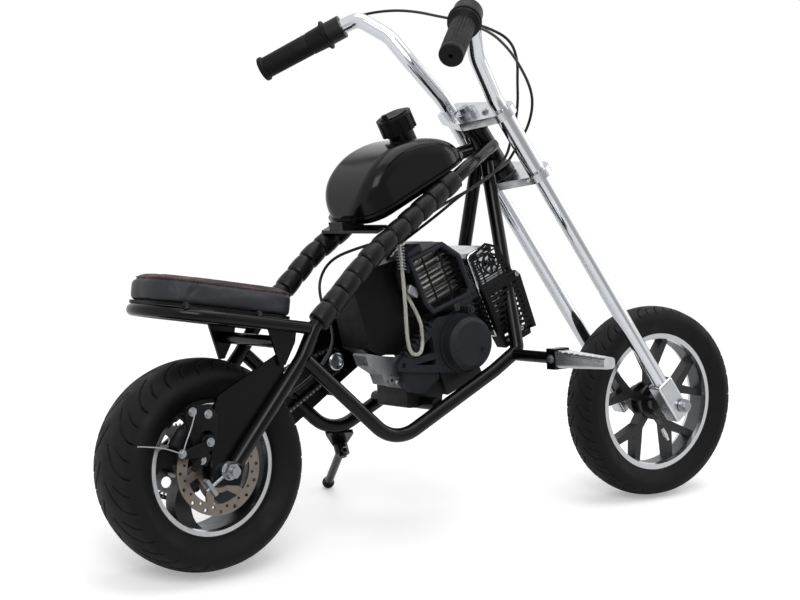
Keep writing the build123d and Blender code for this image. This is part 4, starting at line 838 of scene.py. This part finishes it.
def seamRoute(piece):
    # where the top panel meets the side band: points on the cushion just under its upper edge
    skin = BVHTree.FromPolygons([v.co for v in piece.data.vertices], [tuple(f.vertices) for f in piece.data.polygons])
    level = seat["floor"] + seat["thick"] - seat["seamDown"]
    probe = seat["probe"] / 1000
    route = []
    for u, v, du, dv in padOutline(seat["shrink"], seat["seamPoints"]):
        outward = heading(seatX * du + Vector((0, dv, 0)))
        spot = put(onSeat(u, v, level))
        hit = skin.ray_cast(spot + outward * probe, -outward)[0]
        route.append((spot if hit is None else hit, outward))
    return route


def sinkSeam(piece, route):
    # draws the vinyl in along the seam
    low = [p for p, _ in route]
    ribbon = BVHTree.FromPolygons(low + [p + Vector((0, 0, 1e-5)) for p in low], ringFaces(2, len(low)))
    deep, wide, reach = (seat[key] / 1000 for key in ("seamDeep", "seamWide", "seamReach"))
    for v in piece.data.vertices:
        far = ribbon.find_nearest(v.co, reach)[3]
        if far is not None:
            v.co -= v.normal * deep * exp(-((far / wide) ** 2))


def darkenTop(piece):
    # the top panel inside the seam is of darker vinyl
    piece.data.materials.append(materials["seatTopVinyl"])
    foot = put(onSeat(0, 0, seat["floor"] + seat["thick"] - seat["seamDown"]))
    for face in piece.data.polygons:
        face.material_index = 1 if (face.center - foot).dot(padUp) > 0 else 0


cushion = makePad()
seam = seamRoute(cushion)
sinkSeam(cushion, seam)
darkenTop(cushion)
finishPiece(cushion, "frame", replaces=("seat_pad",), angle=0)
sunkBy, raisedBy = (part / 1000 for part in seat["stitchOut"])
grow(
    "seatStitches", makeLine("seatSeam", [p - outward * sunkBy + padUp * raisedBy for p, outward in seam], closed=True),
    makeStitchTree(), "redThread", "frame", "vinyl",
    Spacing=seat["stitchSpacing"] / 1000, Length=seat["stitchLong"] / 1000, Radius=seat["stitchR"] / 1000,
)
print("seat made")

wrap = {
    "bands": 11, "from": 0.30, "to": 0.985, "tubeR": 11.4, "bulge": 3.5, "step": 0.7, "slant": (0.1, 0.0, 0.12),
    "bends": (90, 200),
}


def steelRoute(points, bends, step=2.0):
    # a bent steel tube's middle line: straight runs with an arc at each inner point
    corners = [Vector(p) for p in points]
    route = [corners[0]]
    for a, b, c, r in zip(corners, corners[1:], corners[2:], bends):
        into, out = (b - a).normalized(), (c - b).normalized()
        half = into.angle(out) / 2
        inward = (out - into).normalized()
        hub = b + inward * (r / cos(half))
        count = max(3, round(2 * half * r / step))
        for k in range(count + 1):
            swing = -half + 2 * half * k / count
            route.append(hub - inward * r * cos(swing) + (into + out).normalized() * r * sin(swing))
    return route + [corners[-1]]


def partOf(route, low, high):
    # the stretch between two shares of a route's length
    lengths = [0.0]
    for a, b in zip(route, route[1:]):
        lengths.append(lengths[-1] + (b - a).length)
    kept = []
    for share in (low, high):
        want = share * lengths[-1]
        i = max(k for k in range(len(route) - 1) if lengths[k] <= want)
        kept.append((i, route[i].lerp(route[i + 1], (want - lengths[i]) / (lengths[i + 1] - lengths[i]))))
    (i, start), (j, end) = kept
    return [start] + route[i + 1 : j + 1] + [end], (high - low) * lengths[-1]


def railPoints(side):
    return [
        onFork(3 - bike["stemBack"], side * 11.5, 487), onFork(-101, side * 62, 511), (232, side * 71, 255.5),
        (139, side * 71, 169.5),
    ]


bandTree = makeBandTree()
for side, label in ((1, "Left"), (-1, "Right")):
    stretch, long = partOf(steelRoute(railPoints(side), wrap["bends"]), wrap["from"], wrap["to"])
    grow(
        "railWrap" + label, makeLine("rail" + label, [put(p) for p in stretch]), bandTree, "wrapVinyl", "frame", "wrap",
        replaces=("rail_wraps",), angle=60, Tube_Radius=wrap["tubeR"] / 1000, Pitch=long / wrap["bands"] / 1000,
        Bulge=wrap["bulge"] / 1000, Step=wrap["step"] / 1000, Slant=wrap["slant"],
    )
print("rail wraps made")

# each cable's points are from the fork's directions as far as the steering head and from the bike's past it
cables = {
    "radius": 2.0, "onward": 22.0, "back": (-0.958, -0.287), "bend": (15.0, 20.0),
    "throttleBars": [
        (-33, -156, 690), (-8, -141, 666), (20, -115, 622), (41, -86, 578), (51, -66, 537), (50, -52, 510),
        (36, -43, 489), (18, -39, 478), (-5, -38, 470),
    ],
    "throttleFrame": [
        (452, -56, 357), (418, -63, 342), (384, -66, 327), (358, -58, 307), (333, -38, 284), (310, -16, 262),
        (294, -8, 240), (293.4, -8, 226),
    ],
    "brakeBars": [
        (-13, 168, 709), (10, 155, 703), (29, 114, 693), (33, 66, 684), (28, 14, 676), (24, -38, 668),
        (28, -82, 652), (41, -98, 622), (45, -82, 586), (44, -56, 553), (43, -34, 522), (30, -24, 497), (4, -24, 478),
    ],
    "brakeFrame": [
        (466, -34, 352), (430, -34, 336), (385, -38, 320), (335, -44, 298), (292, -36, 275), (258, -4, 264),
        (232, 26, 250), (220, 40, 222), (212, 24, 192), (208, -6, 164), (190, -36, 140), (158, -52, 114),
        (122, -57, 92), (84, -60, 78), (48, -62, 80), (16, -62, 84), (-12, -61, 82), (-32, -62, 75),
    ],
}


def makeCable(name, bars, rest):
    # one cable over the steering joint: its points above the head are placed with the bars as they are turned, those
    # below it with the frame
    above = [put(onFork(*p), "steering") for p in bars]
    onward = (above[-1] - above[-2]).normalized()
    points = above + [above[-1] + onward * cables["onward"] / 1000] + [put(p) for p in rest]
    piece = makeTube(name, makeLine(name, points, smooth=True), cables["radius"], "cableSheath")
    piece.data.shade_smooth()
    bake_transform(piece)


makeCable("throttleCable", cables["throttleBars"], cables["throttleFrame"])
makeCable("brakeCable", cables["brakeBars"], cables["brakeFrame"])
print("cables made")


def turned(name, body, start, end, profile, finish, slot, replaces=(), around=40, ribs=None):
    # a shape of revolution: profile gives the distance from start towards end and the radius, both in mm
    # ribs are (count, height, from, to): rounded ridges along the surface between two distances
    foot, away = put(start, body), put(end, body)
    axis = (away - foot).normalized()
    one = axis.orthogonal().normalized()
    two = axis.cross(one)
    points = []
    for far, r in profile:
        for k in range(around):
            a = 2 * pi * k / around
            lift = ribs[1] * abs(sin(a * ribs[0] / 2)) if ribs and ribs[2] <= far <= ribs[3] else 0
            points.append(foot + axis * far / 1000 + (one * cos(a) + two * sin(a)) * (r + lift) / 1000)
    faces = ringFaces(len(profile), around)
    faces += [tuple(range(around)), tuple((len(profile) - 1) * around + k for k in range(around))]
    finishPiece(addMesh(name, points, faces, finish), body, replaces=replaces, angle=35)


def slab(name, outline, low, high, bevel, finish, slot):
    # a plate on the frame with a rounded edge: its outline is x, z pairs and its faces are at two y values
    count = len(outline)
    points = [put((x, y, z)) for y in (low, high) for x, z in outline]
    faces = [tuple(range(count)), tuple(range(count, 2 * count))] + ringFaces(2, count)
    piece = addMesh(name, points, faces, finish)
    edge = piece.modifiers.new("edge", "BEVEL")
    edge.width = bevel / 1000
    edge.segments = 3
    applyModifiers(piece)
    finishPiece(piece, "frame", angle=35)


# grips: a sleeve with an end flange on the left, lengthwise ribs and a double flange on the right
grip = {
    "left": [
        (4, 0), (4, 20.5), (5, 22), (7.5, 22), (8.5, 20.5), (9.5, 18.4), (12, 17.4), (33, 16.6), (34, 15.6),
        (35, 15.6), (36, 16.2), (60, 16), (106, 15.6), (107, 17.4), (108, 18.2), (112, 18.2), (113.4, 17.4),
        (114.4, 15), (114.9, 12), (114.9, 0),
    ],
    "right": [
        (4, 0), (4, 21), (5, 22.6), (8.4, 22.6), (9.4, 21), (9.8, 18), (11.4, 18), (11.8, 20.4), (12.8, 21.6),
        (15.2, 21.6), (16.4, 20.2), (18.4, 17.6), (21, 15.4), (24, 14.9), (25, 14.9), (60, 14.9), (101, 14.9),
        (103, 15.2), (105, 16), (112, 16), (113.8, 15.2), (114.8, 13), (114.9, 3), (109, 2.8), (109, 0),
    ],
    "ribs": (22, 1.3, 24, 102),
}
for label, side in (("left", 1), ("right", -1)):
    ends = [onFork(x, side * y, z) for x, y, z in (barEnd["inner"], barEnd["outer"])]
    ribs = grip["ribs"] if label == "right" else None
    turned(
        label + "Grip", "steering", *ends, grip[label], "gripRubber", "rubber",
        replaces=("grips",), around=132 if ribs else 48, ribs=ribs,
    )

# lever end: a black arm off its perch and the bright adjuster that the cable leaves
armProfile = [(0, 0), (0, 7), (14, 6), (26, 4.6), (28, 4), (28, 0)]
turned("leverArm", "steering", onFork(-38, 160, 709.5), onFork(-11, 169, 709), armProfile, "blackNylon", "plastic")
adjusterProfile = [
    (0, 0), (0, 3.4), (3, 4.4), (8, 4.4), (8.6, 3.2), (10, 3.2), (10.6, 4), (14, 4), (15, 3.2), (19, 2.6), (19, 0),
]
turned(
    "cableAdjuster", "steering", onFork(-16, 170, 709.5), onFork(10, 155, 703), adjusterProfile,
    "polishedAluminium", "alloy",
)
valveProfile = [(0, 0), (0, 2.6), (6, 2.6), (7, 3.6), (15, 3.4), (22, 2.4), (22, 0)]
turned(
    "tyreValve", "front_wheel", (806, -10, -58), (801, -10, -50), valveProfile, "polishedAluminium", "alloy", around=20
)
ringProfile = [(0, 0), (0, 12), (5, 12), (6.5, 10.5), (6.5, 8), (3, 7.4), (3, 0)]
turned("jackshaftRing", "frame", (249, 53, 107.5), (249, 40, 107.5), ringProfile, "polishedAluminium", "steel")

# brake hardware on the caliper's outer face: outline, inner and outer y, bevel
caliper = {
    "Block": (
        [(-58, 76), (-46, 88), (-22, 84), (-12, 70), (-14, 40), (-28, 28), (-44, 30), (-56, 52)], -77, -66.5, 2.2,
    ),
    "Arm": ([(-26, 44), (-22, 36), (-38, 22), (-68, 23), (-77, 28), (-75, 36), (-62, 35)], -84.5, -81, 1.0),
    "Foot": ([(-50, 28), (-34, 30), (-24, 22), (-32, 10), (-44, 10), (-50, 18)], -78, -67, 1.8),
}
for label, shape in caliper.items():
    slab("caliper" + label, *shape, "blackCastIron", "black_cast")
postProfile = [(0, 0), (0, 9), (9, 9), (10, 7), (15, 7), (15, 0)]
turned("caliperPost", "frame", (-30, -70, 40), (-30, -90, 40), postProfile, "blackCastIron", "black_cast")

# clear fuel line in two runs, with the steel spring that keeps its first bend open
hose = {
    "points": [
        (292, -48, 287.5), (289, -58, 250), (287, -66, 190), (287, -67, 140), (293, -67, 118.5), (312, -64.5, 118.5),
        (317, -61, 140), (315, -60, 168), (299, -48, 204),
    ],
    "radius": 2.6, "spring": ((291, -52, 281), (288, -61, 232)), "springR": 5.6, "wireR": 0.65, "turns": 12.0,
}
hoseLine = makeLine("fuelLine", [put(p) for p in hose["points"]], smooth=True)
finishPiece(
    makeTube("fuelLine", hoseLine, hose["radius"], "yellowedClearTube"), "frame",
    replaces=("fuel_hose",), angle=0,
)

# rounded satin rim round the hood's opening, and the cap over its upper corner
hood = {
    "rim": [(-38, 79), (-38, 143), (19, 139.5), (37.5, 114), (37.5, 65), (29.5, 59), (-32, 63.5)], "rimY": -64.5,
    "rimR": 4.0, "cap": [(-47, 128), (-36, 153), (-12, 156), (-12, 146), (-38, 144), (-43, 126)],
}
rimLine = makeLine("hoodRim", [put(onEngine(u, hood["rimY"], w)) for u, w in hood["rim"]], closed=True)
finishPiece(makeTube("hoodRim", rimLine, hood["rimR"], "charcoalNylon", bevel=4), "frame", angle=35)

springTop, springFoot = (put(p) for p in hose["spring"])
grow(
    "hoseSpring", cloud("hoseSpring", [(springFoot, springTop - springFoot, 1.0)]), makeSpringTree(), "zincSteel",
    "frame", "steel", angle=0, Turns=hose["turns"], Coil_Radius=hose["springR"] / 1000, Wire=hose["wireR"] / 1000,
    Long=(springTop - springFoot).length,
)

# the brake's bare inner wire from its stop to the arm, with its end beyond the clamp
brakeWire = {
    "points": [
        (-50, -87.5, 84), (-55, -87.5, 66), (-66, -87.5, 44), (-71, -87, 30), (-78, -87, 33), (-100, -86, 42),
        (-131, -85, 46),
    ],
    "radius": 0.85,
}
wireLine = makeLine("brakeWire", [put(p) for p in brakeWire["points"]], smooth=True)
finishPiece(makeTube("brakeWire", wireLine, brakeWire["radius"], "zincSteel"), "frame", angle=0)
slab("petcock", [(300, 213), (316, 204), (311, 193), (295, 202)], -62, -47, 1.6, "castAluminium", "cast")
slab("hoodCap", [onEngine(u, 0, w).xz for u, w in hood["cap"]], -64, -30, 2.5, "charcoalNylon", "grey_plastic")
print("grips, levers, brake hardware and fuel line made")

# bolts and screws: what they sit on, their kind and finish, the side they face, their radius and where they are
toRight, toBack = (0, -1, 0), (-1, 0, 0)
bolts = {
    "caliperBolts": (
        ("caliperBlock", "caliperArm", "caliperFoot", "caliperPost"), "hexBolt", "zincSteel", toRight, 4.2,
        [(-49, -80, 79), (-27, -80, 74), (-30, -84, 40), (-70, -84, 30), (-39, -80, 18)],
    ),
    "guardScrews": (
        ("muffler_guard", "cylinder_shroud"), "socketScrew", "zincSteel", toRight, 3.4,
        [(477, -66, 216), (482, -66, 140)],
    ),
    "recoilScrews": (
        ("recoil_cover", "starter_housing"), "socketScrew", "oiledSteel", toRight, 3.0,
        [(396, -82, 172), (403, -82, 118)],
    ),
    "gearBolts": (
        ("gear_case", "sump_cover", "starter_housing"), "hexBolt", "zincSteel", toRight, 3.6, [(290, -38, 80)],
    ),
    "seatBolts": (
        ("seat_tube", "seat_pan"), "hexBolt", "oiledSteel", toRight, 3.4, [(-45, -80, 210), (55, -80, 192)],
    ),
    "pegBolts": (
        ("peg_arms", "foot_pegs"), "hexBolt", "zincSteel", toBack, 4.6, [(452, 174, 105.5), (452, -174, 105.5)],
    ),
    "standBolt": (("stand_bracket",), "hexBolt", "zincSteel", toRight, 5.0, [(285, 90, -22.5)]),
}
for name, (nodes, kind, finish, facing, radius, spots) in bolts.items():
    fasten(name, "frame", nodes, kind, finish, [spot + (facing, radius) for spot in spots])

# on the fork: x, y and s from its directions, and the radius
forkBolts = {
    "upper": [(-20, 0, 545, 8.0), (-13, 34, 545, 4.6), (-13, -34, 545, 4.6)],
    "lower": [(-20, 62, 431, 4.2), (-20, -62, 431, 4.2)],
    "axle": [(0, 85, 0, 7.4), (0, -85, 0, 7.4)],
}
fasten(
    "clampBolts", "steering", ("upper_clamp", "lower_clamp", "steering_stem"), "hexBolt", "zincSteel",
    [
        tuple(onFork(x, y, s)) + (facing, r)
        for level, facing in (("upper", forkUp), ("lower", -forkX)) for x, y, s, r in forkBolts[level]
    ],
)
fasten(
    "axleBolts", "steering", ("front_axle",), "hexBolt", "zincSteel",
    [tuple(onFork(x, y, s)) + ((0, y, 0), r) for x, y, s, r in forkBolts["axle"]],
)

chain = {
    "y": 62.3, "half": 3.6, "pitch": 6.35, "rearR": 50.57, "frontR": 17.28, "shaft": (249.0, 107.5), "pinR": 1.25,
}


def chainPath():
    # the pitch line round both sprockets, in equal steps: x, z pairs
    shaft = Vector(chain["shaft"])
    far = shaft.length
    slope = atan2(shaft.y, shaft.x)
    lean = asin((chain["rearR"] - chain["frontR"]) / far)
    run = sqrt(far ** 2 - (chain["rearR"] - chain["frontR"]) ** 2)
    rearArc, frontArc = chain["rearR"] * (pi + 2 * lean), chain["frontR"] * (pi - 2 * lean)
    whole = 2 * run + rearArc + frontArc
    count = round(whole / chain["pitch"])
    path = []
    for k in range(count):
        at = whole * k / count
        if at < rearArc:
            a = slope + pi / 2 - lean + at / chain["rearR"]
            path.append(Vector((cos(a), sin(a))) * chain["rearR"])
            continue
        at -= rearArc
        low = slope - pi / 2 + lean
        high = slope + pi / 2 - lean
        if at < run:
            side = Vector((cos(low), sin(low)))
            path.append((side * chain["rearR"]).lerp(shaft + side * chain["frontR"], at / run))
            continue
        at -= run
        if at < frontArc:
            a = low + at / chain["frontR"]
            path.append(shaft + Vector((cos(a), sin(a))) * chain["frontR"])
            continue
        at -= frontArc
        side = Vector((cos(high), sin(high)))
        path.append((shaft + side * chain["frontR"]).lerp(side * chain["rearR"], at / run))
    return path


fasten(
    "chainPins", "frame", ("chain",), "chainPin", "zincSteel",
    [
        (p.x, chain["y"] + side * chain["half"], p.y, (0, side, 0), chain["pinR"])
        for p in chainPath() for side in (1, -1)
    ],
)
print("bolts, screws and chain pins set")
